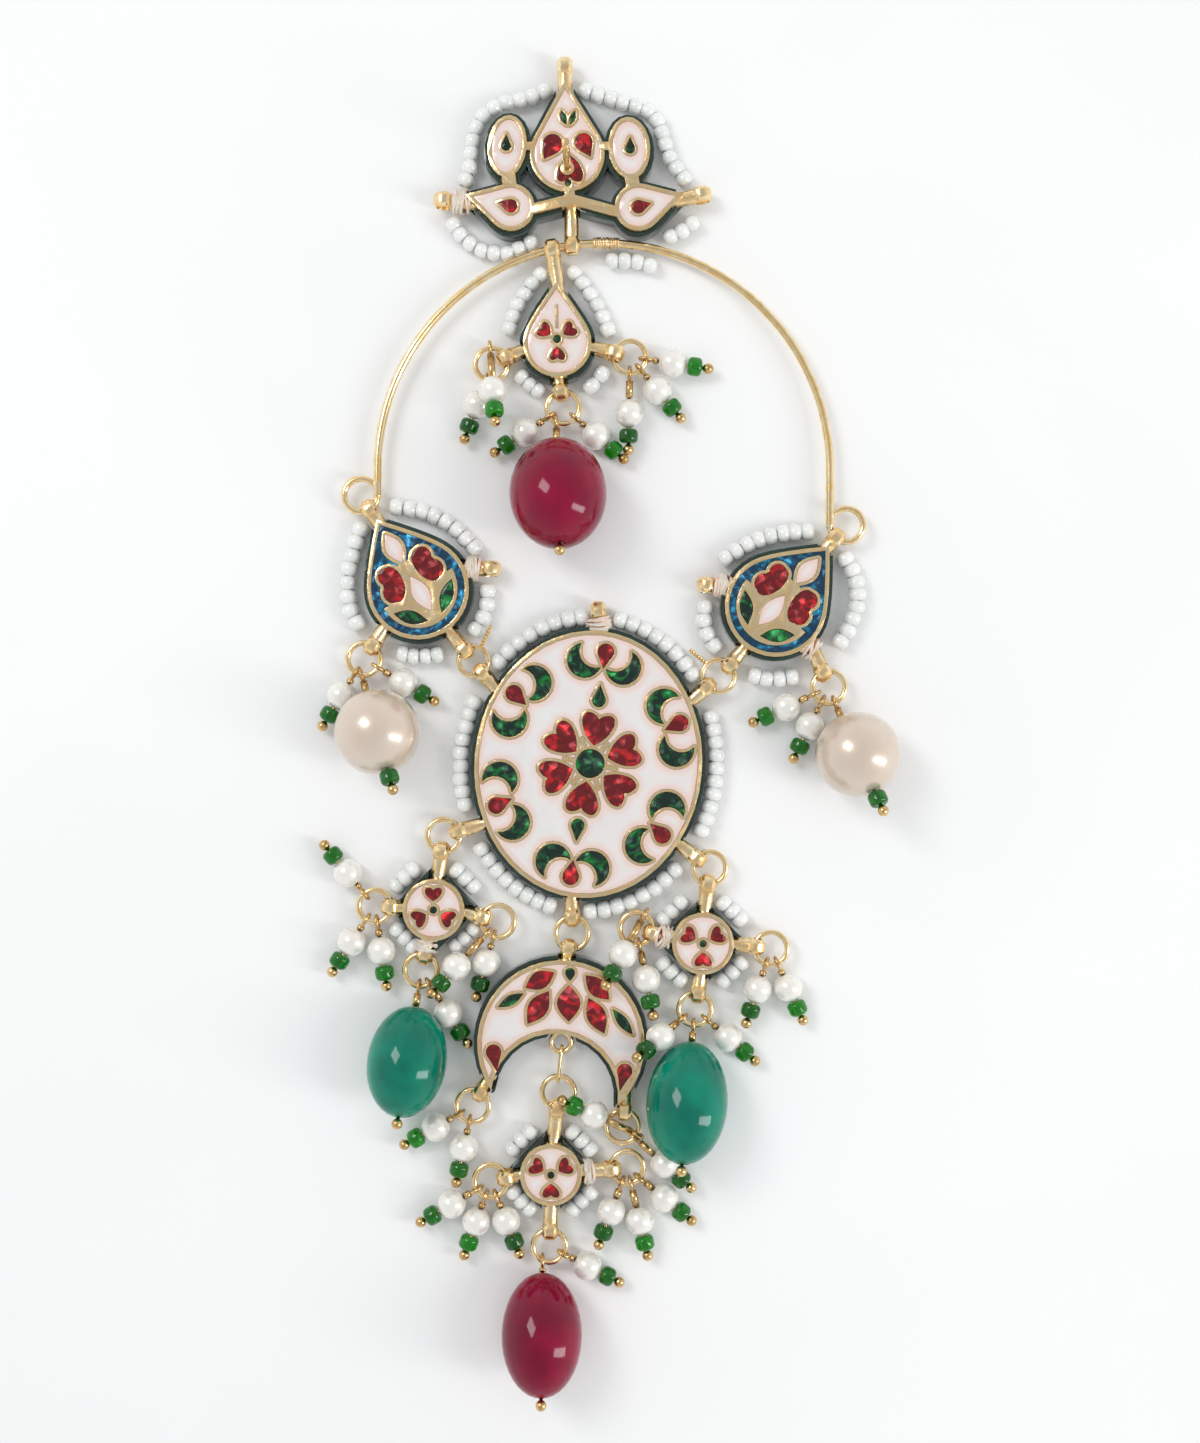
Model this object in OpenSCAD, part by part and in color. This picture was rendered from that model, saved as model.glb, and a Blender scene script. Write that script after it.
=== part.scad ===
// Chandbali earring, lying with its enamelled reverse side up.
// X runs across the earring, Y runs up to the stud, Z = 0 is the surface that it lies on.

/* [Settings] */
// Height of each gold setting
plate_h = 3.4; // [3.2:0.1:3.8]
// Width of the gold rim round the enamel
rim_w = 0.45; // [0.4:0.05:0.5]
// Depth of the cells that hold the enamel
cell_depth = 0.5; // [0.4:0.1:0.8]
// Width of the gold lines between two cells
line_w = 0.28; // [0.22:0.02:0.32]
// How far the dark green side wall stands out past the rim
wall_out = 0.45; // [0.35:0.05:0.6]

/* [Lugs and rings] */
// Radius of the hole in a lug
lug_hole_r = 0.75; // [0.7:0.05:0.8]
// Width of a lug, along its hole
lug_w = 1.7; // [1.5:0.1:1.9]
// Middle radius of a jump ring
ring_r = 1.8; // [1.7:0.05:1.9]
// Wire of a jump ring
ring_wire = 0.6; // [0.5:0.05:0.65]

/* [Hoop] */
// Radius of the hoop
hoop_r = 25; // [25:0.1:25.2]
// Wire of the hoop
hoop_wire = 0.9; // [0.8:0.05:0.95]
// Wire of the round eyes at the ends of the hoop
eye_wire = 0.7; // [0.6:0.05:0.75]

/* [Beads] */
// Diameter of a small pearl
pearl_d = 3.2; // [3.0:0.05:3.25]
// Diameter of a green glass bead
green_d = 2.1; // [1.9:0.05:2.15]
// Length of a green glass bead along its hole
green_len = 1.6; // [1.4:0.05:1.6]
// Diameter of a large pearl
big_pearl_d = 9.4; // [9.2:0.1:9.5]
// Thickness of a strand of white seed beads
strand_d = 2.0; // [1.8:0.05:2.05]

/* [Head pins] */
// Wire of a head pin
pin_wire = 0.4; // [0.35:0.05:0.4]
// Diameter of the gold ball that ends a head pin
ball_d = 1.2; // [1.0:0.05:1.25]

/* [Ear post] */
// Diameter of the ear post
post_d = 0.8; // [0.7:0.05:0.9]
// Length of the ear post above the setting
post_len = 10; // [9:0.5:11]

/* [Hidden] */
$fn = 24;

gold = "#d9b45a";
pearl_white = "#f2efe8";
leaf_green = "#2c8a2a";

// The middle of the lying earring, which is moved to the origin
middle = [-0.4425, 0.203];
// Height of the hoop, the rings and the holes in the lugs
wire_z = 1.8;
// Play between the enamel and the gold round it
play = 0.03;
// How far the enamel lies below the gold lines
enamel_low = 0.06;
// How far a cutter reaches past the solid that it cuts
over = 1;
// Highest and lowest level of the dark green side walls
wall_top = 2.7;
wall_low = 0.05;

// Points and curves
function unit(a) = [cos(a), sin(a)];
function along(p, q) = atan2(q[1] - p[1], q[0] - p[0]);
function span(p, q) = norm(q - p);
function arc(c, r, a0, a1, n) = [for (i = [0:n]) c + r * unit(a0 + (a1 - a0) * i / n)];
function bend(p, c, q, n) = [for (i = [1:n]) let (t = i / n)
  (1 - t) * (1 - t) * p + 2 * t * (1 - t) * c + t * t * q];
function turned(pts, a) = [for (p = pts)
  [p[0] * cos(a) - p[1] * sin(a), p[0] * sin(a) + p[1] * cos(a)]];
function moved(pts, v) = [for (p = pts) p + v];

// Pear: a round end of radius r at the origin and a tip on +Y.
// The shoulder is the angle at which the round end goes over into the sides.
function pear(r, tip, shoulder, swell, n) = let (
    s = r * unit(shoulder),
    c = s + swell * [-sin(shoulder), cos(shoulder)],
    side = bend(s, c, [0, tip], n)
  ) concat(
    arc([0, 0], r, 180 - shoulder, 360 + shoulder, 3 * n),
    side,
    [for (i = [n - 2:-1:0]) [-side[i][0], side[i][1]]]
  );
function oval(a, b, n) = [for (i = [0:n - 1]) let (t = 360 * i / n) [a * cos(t), b * sin(t)]];
// Leaf: two arcs that meet in points on +Y and -Y
function leaf(length, width, n) = let (h = length / 2, w = width / 2) concat(
    [for (i = [0:n]) let (t = i / n) [w * sin(180 * t), -h + length * t]],
    [for (i = [1:n - 1]) let (t = i / n) [-w * sin(180 * t), h - length * t]]
  );
// Heart: its point at the origin, its two lobes at the top, w wide and h high
function heart(w, h, n) = let (
    half = concat(
      bend([0, 0], [w * 0.42, h * 0.3], [w / 2, h * 0.72], n),
      bend([w / 2, h * 0.72], [w * 0.5, h * 1.08], [w * 0.22, h], n),
      bend([w * 0.22, h], [w * 0.06, h * 0.96], [0, h * 0.84], 2)
    )
  ) concat([[0, 0]], half, [for (i = [len(half) - 2:-1:0]) [-half[i][0], half[i][1]]]);
// Sickle: outer arc of radius r, inner arc of radius q whose centre is d further along +X
function sickle(r, q, d, n) = let (
    x = (r * r - q * q + d * d) / (2 * d),
    y = sqrt(r * r - x * x),
    a = atan2(y, x),
    b = atan2(y, x - d)
  ) concat(
    arc([0, 0], r, a, 360 - a, 2 * n),
    [for (i = [1:n - 1]) [d, 0] + q * unit(360 - b - (360 - 2 * b) * i / n)]
  );

// Places of the settings
stud_at = [-4.8, 62.9];
drop_at = [-5.9, 42.2];
left_at = [-21.2, 15.2];
right_at = [18.1, 13.3];
medal_at = [-2.5, -4.1];
low_left_at = [-19.5, -20.1];
low_right_at = [10.1, -23.8];
crescent_at = [-5.5, -34.8];
bottom_at = [-6.6, -49.2];
// Turns of the settings, counterclockwise
left_turn = 31;
right_turn = -42;
medal_turn = -5.5;
crescent_turn = -97;
// Half width and half height of the medallion, and radius of the three round settings
medal_a = 12.5;
medal_b = 14.7;
round_r = 3.4;
// Half diagonal of the diamond that the side wall of a round setting forms
diamond = 4.7;
// Outer and inner circle of the crescent, and how far the inner one is set down
crescent_r = 9.2;
crescent_q = 7.0;
crescent_d = 5.9;

// Middles of the hoop, of its two eyes and of the jump rings
hoop_at = [-0.8, 28.5];
eye_r = 1.85;
left_eye = [hoop_at[0] - hoop_r - eye_r, 25.6];
right_eye = [hoop_at[0] + hoop_r + eye_r, 22.3];
drop_low_ring = [-5.3, 35.3];
drop_left_ring = [-13.2, 40.1];
drop_right_ring = [2.1, 40.9];
left_ring = [-27.3, 7.5];
right_ring = [24.1, 4.4];
low_left_top_ring = [-18.5, -12.0];
low_left_side_ring = [-26.1, -19.8];
low_left_inner_ring = [-12.5, -21.5];
low_left_low_ring = [-21.0, -26.9];
low_right_top_ring = [10.9, -15.6];
low_right_side_ring = [17.7, -24.5];
low_right_inner_ring = [2.8, -22.3];
low_right_low_ring = [9.3, -31.2];
crescent_top_ring = [-4.3, -22.8];
crescent_left_ring = [-15.3, -41.9];
crescent_right_ring = [1.3, -44.2];
crescent_low_ring = [-5.8, -40.4];
crescent_eyelet = [-5.5, -34.85];
bottom_left_ring = [-13.3, -50.2];
bottom_right_ring = [1.8, -48.7];
bottom_low_ring = [-6.8, -57.4];

// Point of the hoop above the given X
function on_hoop(x) = [x, hoop_at[1] + sqrt(hoop_r * hoop_r - (x - hoop_at[0]) * (x - hoop_at[0]))];
// Where a lug's hole lies, when the ring or eye through it has its middle at c and radius r
function hole_at(root, c, r) = c - r * unit(along(root, c));

// Lugs of each setting: root on the rim, middle of the hole
STUD_LUGS = [
  [[-5.1, 70.3], [-5.1, 72.9]],
  [[-15.2, 57.9], [-18.5, 58.2]],
  [[7.3, 58.2], [10.0, 58.8]],
  [[-4.4, 57.4], on_hoop(-4.3)]
];
DROP_LUGS = [
  [[-5.8, 48.2], on_hoop(-6.5)],
  [[-9.4, 41.7], hole_at([-9.4, 41.7], drop_left_ring, ring_r)],
  [[-2.4, 42.0], hole_at([-2.4, 42.0], drop_right_ring, ring_r)],
  [[-5.8, 38.8], hole_at([-5.8, 38.8], drop_low_ring, ring_r)]
];
LEFT_LUGS = [
  [[-25.3, 22.0], hole_at([-25.3, 22.0], left_eye, eye_r)],
  [[-24.8, 11.3], hole_at([-24.8, 11.3], left_ring, ring_r)],
  [[-18.0, 10.8], [-16.2, 8.6]],
  [[-16.2, 17.5], [-13.3, 17.5]]
];
RIGHT_LUGS = [
  [[23.6, 19.5], hole_at([23.6, 19.5], right_eye, eye_r)],
  [[22.0, 9.4], hole_at([22.0, 9.4], right_ring, ring_r)],
  [[14.8, 8.9], [13.2, 6.9]],
  [[12.9, 15.6], [10.6, 15.7]]
];
MEDAL_LUGS = [
  [[-1.3, 10.2], [-1.4, 12.8]],
  [[-12.7, 4.2], [-14.2, 6.0]],
  [[8.7, 2.8], [10.6, 4.4]],
  [[-14.2, -10.7], hole_at([-14.2, -10.7], low_left_top_ring, ring_r)],
  [[7.6, -13.0], hole_at([7.6, -13.0], low_right_top_ring, ring_r)],
  [[-4.3, -18.4], hole_at([-4.3, -18.4], crescent_top_ring, ring_r)]
];
LOW_LEFT_LUGS = [
  [[-19.2, -17.0], hole_at([-19.2, -17.0], low_left_top_ring, ring_r)],
  [[-22.7, -20.0], hole_at([-22.7, -20.0], low_left_side_ring, ring_r)],
  [[-16.4, -20.4], hole_at([-16.4, -20.4], low_left_inner_ring, ring_r)],
  [[-20.0, -23.2], hole_at([-20.0, -23.2], low_left_low_ring, ring_r)]
];
LOW_RIGHT_LUGS = [
  [[10.3, -20.7], hole_at([10.3, -20.7], low_right_top_ring, ring_r)],
  [[13.2, -23.9], hole_at([13.2, -23.9], low_right_side_ring, ring_r)],
  [[6.9, -23.5], hole_at([6.9, -23.5], low_right_inner_ring, ring_r)],
  [[10.0, -26.9], hole_at([10.0, -26.9], low_right_low_ring, ring_r)]
];
CRESCENT_LUGS = [
  [[-5.0, -26.0], hole_at([-5.0, -26.0], crescent_top_ring, ring_r)],
  [[-13.5, -38.8], hole_at([-13.5, -38.8], crescent_left_ring, ring_r)],
  [[1.6, -40.7], hole_at([1.6, -40.7], crescent_right_ring, ring_r)]
];
BOTTOM_LUGS = [
  [[-6.4, -46.1], hole_at([-6.4, -46.1], crescent_low_ring, ring_r)],
  [[-9.7, -49.4], hole_at([-9.7, -49.4], bottom_left_ring, ring_r)],
  [[-3.5, -49.2], hole_at([-3.5, -49.2], bottom_right_ring, ring_r)],
  [[-6.6, -52.3], hole_at([-6.6, -52.3], bottom_low_ring, ring_r)]
];

// Small danglers of each unit. Columns: ring that carries it, azimuth, distance in plan from the
// middle of the ring to the pearl, lift of the pearl above the ground, side of the ring that the
// eye sits on (1 near the pearl, -1 across the ring)
DROP_PINS = [
  [drop_right_ring, -8, 4.75, 0, 1],
  [drop_right_ring, -50, 4.75, 0, 1],
  [drop_right_ring, -91, 6.2, 0, 1],
  [drop_low_ring, -40, 4.75, 0, 1],
  [drop_low_ring, -147, 5.0, 0, 1],
  [drop_left_ring, -85, 3.3, 2.5, -1],
  [drop_left_ring, -110, 4.75, 0, 1]
];
LEFT_PINS = [
  [left_ring, -122, 4.75, 0, 1],
  [left_ring, -31, 5.0, 0, 1]
];
RIGHT_PINS = [
  [right_ring, -155, 5.2, 0, 1],
  [right_ring, -116, 4.8, 0, 1]
];
LOW_LEFT_PINS = [
  [low_left_side_ring, 130, 4.75, 0, 1],
  [low_left_side_ring, -123, 4.75, 0, 1],
  [low_left_side_ring, -82, 5.0, 0, 1],
  [low_left_inner_ring, -133, 6.6, 1.35, 1],
  [low_left_inner_ring, -106, 4.75, 0, 1],
  [low_left_low_ring, -58, 5.62, 0, 1]
];
LOW_RIGHT_PINS = [
  [low_right_inner_ring, -120, 3.0, 2.1, -1],
  [low_right_inner_ring, -79, 5.6, 1.0, 1],
  [low_right_side_ring, -108, 4.75, 0, 1],
  [low_right_side_ring, -66, 4.75, 0, 1],
  [low_right_low_ring, -145, 4.75, 2.4, 1],
  [low_right_low_ring, -41, 4.8, 0, 1]
];
CRESCENT_PINS = [
  [crescent_left_ring, -102, 4.75, 0, 1],
  [crescent_left_ring, -150, 4.75, 0, 1],
  [crescent_right_ring, -42, 6.2, 0, 1],
  [crescent_right_ring, 153, 3.6, 1.7, -1]
];
BOTTOM_PINS = [
  [bottom_left_ring, -149, 5.05, 0, 1],
  [bottom_left_ring, -109.5, 4.8, 0, 1],
  [bottom_left_ring, -69, 4.75, 0, 1],
  [bottom_right_ring, -77, 6.1, 0, 1],
  [bottom_right_ring, -40, 5.3, 0, 1],
  [bottom_right_ring, -110, 5.2, 0, 1],
  [bottom_low_ring, -28, 4.75, 0, 1]
];

// Large drops. Columns: ring, azimuth, distance in plan from the middle of the ring to the
// middle of the bead, half its length, half its width, turn of the drop about its eye
DROP_RUBY = [drop_low_ring, -115, 10.05, 6.35, 5.3, 27];
LEFT_PEARL = [left_ring, -98, 8.4, big_pearl_d / 2, big_pearl_d / 2, 26];
RIGHT_PEARL = [right_ring, -69, 7.95, big_pearl_d / 2, big_pearl_d / 2, 0];
LOW_LEFT_GREEN = [low_left_low_ring, -97.6, 9.7, 6.1, 4.35, 0];
LOW_RIGHT_GREEN = [low_right_low_ring, -96, 9.8, 6.7, 4.45, 0];
BOTTOM_RUBY = [bottom_low_ring, -115, 9.06, 6.6, 4.4, 25];

// Flat shapes
module bar(p, q, w) {
  translate(p) rotate(along(p, q)) translate([0, -w / 2]) square([span(p, q), w]);
}
module ring_of(n, start, r) {
  for (i = [0:n - 1]) rotate(start + 360 * i / n) translate([r, 0]) rotate(-90) children();
}
module placed_leaf(at, turn, length, width) {
  translate(at) rotate(turn) polygon(leaf(length, width, 8));
}
module placed_drop(at, turn, r, tip) {
  translate(at) rotate(turn) polygon(pear(r, tip, 30, r * 0.6, 4));
}

// Stud: a tall drop, two upright leaves and two lying drops, joined by gold bars
stud_tall = pear(4.1, 8.1, 30, 4.0, 8);
stud_side = pear(2.6, 5.2, 30, 1.4, 6);
module stud_fields(inset) {
  offset(delta = -inset) rotate(2) polygon(stud_tall);
  offset(delta = -inset) translate([-6.6, 0.9]) rotate(-6) polygon(oval(2.15, 3.4, 20));
  offset(delta = -inset) translate([6.8, 0.7]) rotate(4) polygon(oval(2.3, 3.4, 20));
  offset(delta = -inset) translate([-6.2, -5.8]) rotate(75) polygon(stud_side);
  offset(delta = -inset) translate([7.8, -5.8]) rotate(-74) polygon(stud_side);
}
module stud_bars() {
  bar([-5.2, 0.9], [-3.4, 0.9], 0.9);
  bar([3.4, 0.9], [5.2, 0.9], 0.9);
  bar([-6.5, -2.0], [-6.2, -4.2], 1.5);
  bar([7.0, -2.2], [7.3, -3.9], 1.5);
  bar([-4.2, -6.1], [0.5, -4.9], 1.1);
  bar([0.3, -4.9], [5.8, -6.4], 1.1);
  bar([0.2, -3.8], [0.4, -5.4], 1.1);
}
module stud_red() {
  placed_drop([-1.6, 1.1], 150, 1.1, 1.9);
  placed_drop([1.8, 1.3], 205, 1.0, 1.8);
  translate([0.3, -0.1]) rotate(180) polygon(heart(2.9, 2.9, 5));
  placed_drop([-6.2, -5.7], 75, 0.75, 1.5);
  placed_drop([7.8, -5.8], -74, 0.75, 1.5);
}
module stud_green() {
  placed_leaf([-0.4, 4.0], 20, 1.7, 0.7);
  placed_leaf([0.6, 4.0], -20, 1.7, 0.7);
  translate([0.1, -3.15]) circle(0.38);
  placed_drop([-6.7, 0.9], 0, 0.55, 1.3);
  placed_drop([6.9, 0.6], 0, 0.55, 1.3);
}

// Upper drop: a pear with three red dots round a green one, under a gold stem
drop_shape = pear(3.75, 6.7, 28, 2.2, 8);
module drop_red() {
  for (a = [145, 35, 270]) translate([0, 0.4] + 1.5 * unit(a)) rotate(a - 90)
    translate([0, -0.65]) polygon(heart(1.7, 1.45, 4));
}
module drop_green() {
  translate([0, 0.4]) circle(0.45);
}
module drop_lines() {
  bar([0, 1.6], [0, 4.2], line_w);
}

// Round settings: three red hearts round a dark dot, the first at the given angle
module trefoil_red(first) {
  for (a = [first, first + 120, first + 240]) translate(0.95 * unit(a)) rotate(a - 90)
    polygon(heart(1.9, 1.5, 4));
}
module trefoil_green() {
  circle(0.4);
}

// Pendants: a lotus bud with two leaves inside a blue border
pendant_r = 5.6;
pendant_shape = pear(pendant_r, 8.8, 30, 2.4, 8);
blue_w = 0.8;
field_r = pendant_r - rim_w - blue_w;
module pendant_blue() {
  difference() {
    offset(delta = -rim_w) polygon(pendant_shape);
    pendant_field();
  }
}
// The gold field inside the blue: round below, and close round the petals above
field_line = line_w + 0.05;
// Gold behind the stem: its width, its lowest level and its height
stem_w = 3.2;
stem_low = -1;
stem_h = 4.3;
module pendant_field() {
  offset(r = field_line, $fn = 12) union() {
    pendant_red();
    pendant_tip();
  }
  intersection() {
    polygon(oval(field_r, field_r, 36));
    translate([-pendant_r, -pendant_r]) square([2 * pendant_r, pendant_r]);
  }
  translate([-stem_w / 2, stem_low]) square([stem_w, stem_h]);
}
module scalloped() {
  union() {
    polygon(oval(1.15, 2.05, 18));
    translate([0.45, 1.05]) polygon(oval(0.95, 1.0, 14));
    translate([0.5, -0.85]) polygon(oval(1.0, 1.1, 14));
  }
}
module pendant_red() {
  translate([2.05, 1.75]) rotate(10) scalloped();
  mirror([1, 0]) translate([2.05, 1.75]) rotate(10) scalloped();
}
module pendant_tip() {
  placed_leaf([0, 5.15], 0, 3.7, 1.9);
}
module pendant_white() {
  pendant_tip();
  placed_leaf([0, -0.65], 0, 4.5, 2.0);
}
module pendant_green() {
  placed_leaf([2.3, -2.3], -47, 3.9, 1.5);
  placed_leaf([-2.3, -2.3], 47, 3.9, 1.5);
}

// Medallion: a six-petalled flower inside six fans, each a red drop between two green sickles
flower_at = [0.2, 0.1];
flower_first = 84;
fan_first = 86;
function on_oval(a, b, t) = [a * cos(t), b * sin(t)];
module sickle_at(p, target) {
  a = along(p, target);
  translate(p + 1.1 * unit(a)) rotate(a) polygon(sickle(1.95, 1.85, 1.6, 7));
}
module medal_red() {
  translate(flower_at) ring_of(6, flower_first, 2.0) polygon(heart(3.6, 3.5, 6));
  for (i = [0:5]) let (t = fan_first - 60 * i, p = on_oval(10.7, 12.5, t))
    placed_drop(p, along(p, [0, 0]) - 90, 0.92, 1.9);
}
module medal_green() {
  translate(flower_at) circle(1.6);
  placed_drop([0.5, 7.1], 0, 0.75, 1.8);
  placed_drop([-0.5, -6.8], 180, 0.75, 1.8);
  for (i = [0:5], s = [-18, 18]) let (t = fan_first - 60 * i)
    sickle_at(on_oval(9.3, 10.9, t + s), on_oval(11.6, 13.6, t));
}
module medal_lines() {
  translate(flower_at) ring_of(6, flower_first + 30, 1.5) translate([-line_w, 0]) square([2 * line_w, 1.6]);
}

// Crescent: a half-opened lotus that hangs from the middle of the sickle, a drop in each tip
module crescent_red() {
  placed_leaf([0.85, 4.45], 0, 4.0, 2.6);
  placed_leaf([-2.5, 4.0], -33, 4.3, 2.2);
  placed_leaf([-2.3, 7.0], -62, 3.6, 2.0);
  placed_leaf([4.0, 6.2], 44, 3.7, 2.0);
  placed_leaf([3.9, 3.1], 24, 4.3, 2.1);
  placed_drop([-7.4, -0.9], 190, 0.85, 2.3);
  placed_drop([7.0, -3.0], 166, 0.85, 2.3);
}
module crescent_green() {
  placed_drop([1.0, 7.8], 180, 0.55, 0.9);
  placed_leaf([-5.5, 4.8], -62, 3.2, 1.1);
  placed_leaf([6.8, 2.4], 38, 3.6, 1.1);
}

// Settings by number, in the order of NODES
STUD = 0;
DROP = 1;
LEFT = 2;
RIGHT = 3;
MEDAL = 4;
LOW_LEFT = 5;
LOW_RIGHT = 6;
CRESCENT = 7;
BOTTOM = 8;
LUGS = [STUD_LUGS, DROP_LUGS, LEFT_LUGS, RIGHT_LUGS, MEDAL_LUGS, LOW_LEFT_LUGS, LOW_RIGHT_LUGS,
  CRESCENT_LUGS, BOTTOM_LUGS];
PLACES = [stud_at, drop_at, left_at, right_at, medal_at, low_left_at, low_right_at, crescent_at,
  bottom_at];
TURNS = [0, 1, left_turn, right_turn, medal_turn, 0, 0, 0, 0];

module in_place(i) {
  translate(PLACES[i]) rotate(TURNS[i]) children();
}
module outline(i, inset) {
  if (i == STUD) {
    stud_fields(inset);
    if (inset <= 0) offset(delta = -inset) stud_bars();
  }
  if (i == DROP) offset(delta = -inset) polygon(drop_shape);
  if (i == LEFT || i == RIGHT) offset(delta = -inset) polygon(pendant_shape);
  if (i == MEDAL) offset(delta = -inset) polygon(oval(medal_a, medal_b, 48));
  if (i == LOW_LEFT || i == LOW_RIGHT || i == BOTTOM) polygon(oval(round_r - inset, round_r - inset, 32));
  if (i == CRESCENT)
    offset(delta = -inset) rotate(crescent_turn) polygon(sickle(crescent_r, crescent_q, crescent_d, 14));
}
module red_cells(i) {
  if (i == STUD) stud_red();
  if (i == DROP) drop_red();
  if (i == LEFT || i == RIGHT) pendant_red();
  if (i == MEDAL) medal_red();
  if (i == LOW_LEFT) trefoil_red(90);
  if (i == LOW_RIGHT || i == BOTTOM) trefoil_red(30);
  if (i == CRESCENT) crescent_red();
}
module green_cells(i) {
  if (i == STUD) stud_green();
  if (i == DROP) drop_green();
  if (i == LEFT || i == RIGHT) pendant_green();
  if (i == MEDAL) medal_green();
  if (i == LOW_LEFT || i == LOW_RIGHT || i == BOTTOM) trefoil_green();
  if (i == CRESCENT) crescent_green();
}
module gold_lines(i) {
  if (i == DROP) drop_lines();
  if (i == MEDAL) medal_lines();
}
module blue_cells(i) {
  if (i == LEFT || i == RIGHT) pendant_blue();
}
sliver = 0.06;
module white_cells(i) {
  if (i == LEFT || i == RIGHT) pendant_white();
  else offset(delta = sliver) offset(delta = -sliver) difference() {
    outline(i, rim_w);
    offset(r = line_w, $fn = 12) union() {
      red_cells(i);
      green_cells(i);
    }
    gold_lines(i);
  }
}

// Lug: a cast neck that ends in a short barrel, which is drilled across
lug_r = 1.15;
lug_soft = 0.4;
neck_root_r = 0.68;
neck_end_r = 0.9;
// How far the neck starts inside the rim, and how far the drill comes out of the barrel
neck_in = 0.7;
lug_over = 0.3;
module lug_frame(l) {
  translate([l[0][0], l[0][1], 0]) rotate(along(l[0], l[1])) children();
}
module lug(l) {
  reach = span(l[0], l[1]);
  lug_frame(l) {
    translate([-neck_in, 0, wire_z]) rotate([0, 90, 0])
      cylinder(r1 = neck_root_r, r2 = neck_end_r, h = reach + neck_in);
    translate([reach, 0, wire_z]) rotate([90, 0, 0]) barrel();
  }
}
module barrel() {
  rotate_extrude() polygon([
    [0, -lug_w / 2], [lug_r - lug_soft, -lug_w / 2], [lug_r, lug_soft - lug_w / 2],
    [lug_r, lug_w / 2 - lug_soft], [lug_r - lug_soft, lug_w / 2], [0, lug_w / 2]
  ]);
}
module lug_hole(l) {
  lug_frame(l) translate([span(l[0], l[1]), 0, wire_z]) rotate([90, 0, 0])
    cylinder(r = lug_hole_r, h = lug_w + 2 * lug_over, center = true);
}

// Gold setting: a closed cup with its lugs, and sunken cells in its top
module setting(i) {
  color(gold) difference() {
    union() {
      linear_extrude(plate_h) in_place(i) outline(i, 0);
      for (l = LUGS[i]) lug(l);
      if (i == CRESCENT) eyelet();
    }
    translate([0, 0, plate_h - cell_depth]) linear_extrude(cell_depth + over) in_place(i) {
      white_cells(i);
      red_cells(i);
      green_cells(i);
      blue_cells(i);
    }
    for (l = LUGS[i]) lug_hole(l);
  }
  if (i == STUD) color(gold) ear_post();
}
post_at = [-4.8, 61.3];
// Depth of the ear post in the gold under its cell
post_in = 1;
// Solder foot of the ear post, and how far it stands up past the rim
foot_r = 0.75;
foot_up = 0.2;
module ear_post() {
  below = cell_depth + post_in;
  translate([post_at[0], post_at[1], plate_h - below]) {
    cylinder(d = post_d, h = post_len + below);
    cylinder(r = foot_r, h = below + foot_up);
  }
}
eyelet_r = 1.1;
eyelet_wire = 0.6;
module eyelet() {
  translate([crescent_eyelet[0], crescent_eyelet[1], wire_z]) hoop_wire_ring(eyelet_r, eyelet_wire);
}
module hoop_wire_ring(r, wire) {
  rotate_extrude($fn = 32) translate([r, 0]) circle(d = wire, $fn = 16);
}

// Enamel: each colour fills its cells to just below the gold lines
enamel_h = cell_depth - enamel_low - play;
module enamel(i) {
  translate([0, 0, plate_h - cell_depth + play]) linear_extrude(enamel_h) in_place(i)
    offset(delta = -play) children();
}
module enamel_white() {
  color("#f6e4de") for (i = [STUD:BOTTOM]) if (i == STUD) difference() {
    enamel(i) white_cells(i);
    post_room();
  } else enamel(i) white_cells(i);
}
module post_room() {
  translate([post_at[0], post_at[1], 0]) cylinder(r = foot_r + play, h = plate_h + over);
}
module enamel_red() {
  color("#a01522") difference() {
    for (i = [STUD:BOTTOM]) enamel(i) red_cells(i);
    post_room();
  }
}
module enamel_green() {
  color("#0c5a35") for (i = [STUD:BOTTOM]) enamel(i) green_cells(i);
}
module enamel_blue() {
  color("#1b6f9c") for (i = [LEFT:RIGHT]) enamel(i) blue_cells(i);
}

// Dark green enamel on the outer walls of the settings, open where the lugs leave
wall_soft = 0.4;
// Room in the wall beside a lug, behind its root and round the eyelet
lug_side = 0.15;
lug_back = 1.2;
eyelet_room = 0.6;
module wall_outline(i) {
  if (i == LOW_LEFT || i == LOW_RIGHT || i == BOTTOM)
    offset(r = wall_soft) polygon(oval(diamond - wall_soft, diamond - wall_soft, 4));
  else offset(r = wall_out, $fn = 16) outline(i, 0);
}
module lug_gap(l) {
  translate(l[0]) rotate(along(l[0], l[1])) translate([-lug_back, -lug_w / 2 - lug_side])
    square([span(l[0], l[1]) + lug_back, lug_w + 2 * lug_side]);
}
module walls(i) {
  translate([0, 0, wall_low]) linear_extrude(band_h) wall_band(i);
  translate([0, 0, wall_low]) linear_extrude(wall_top - wall_low) difference() {
    wall_band(i);
    for (l = LUGS[i]) lug_gap(l);
    if (i == CRESCENT) translate(crescent_eyelet) circle(eyelet_r + eyelet_room);
  }
}
// Height of the closed band under the lugs
band_h = 0.5;
module wall_band(i) {
  in_place(i) difference() {
    wall_outline(i);
    offset(delta = play) outline(i, 0);
  }
}
module enamel_walls() {
  color("#0d3324") for (i = [STUD:BOTTOM]) walls(i);
}

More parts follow.
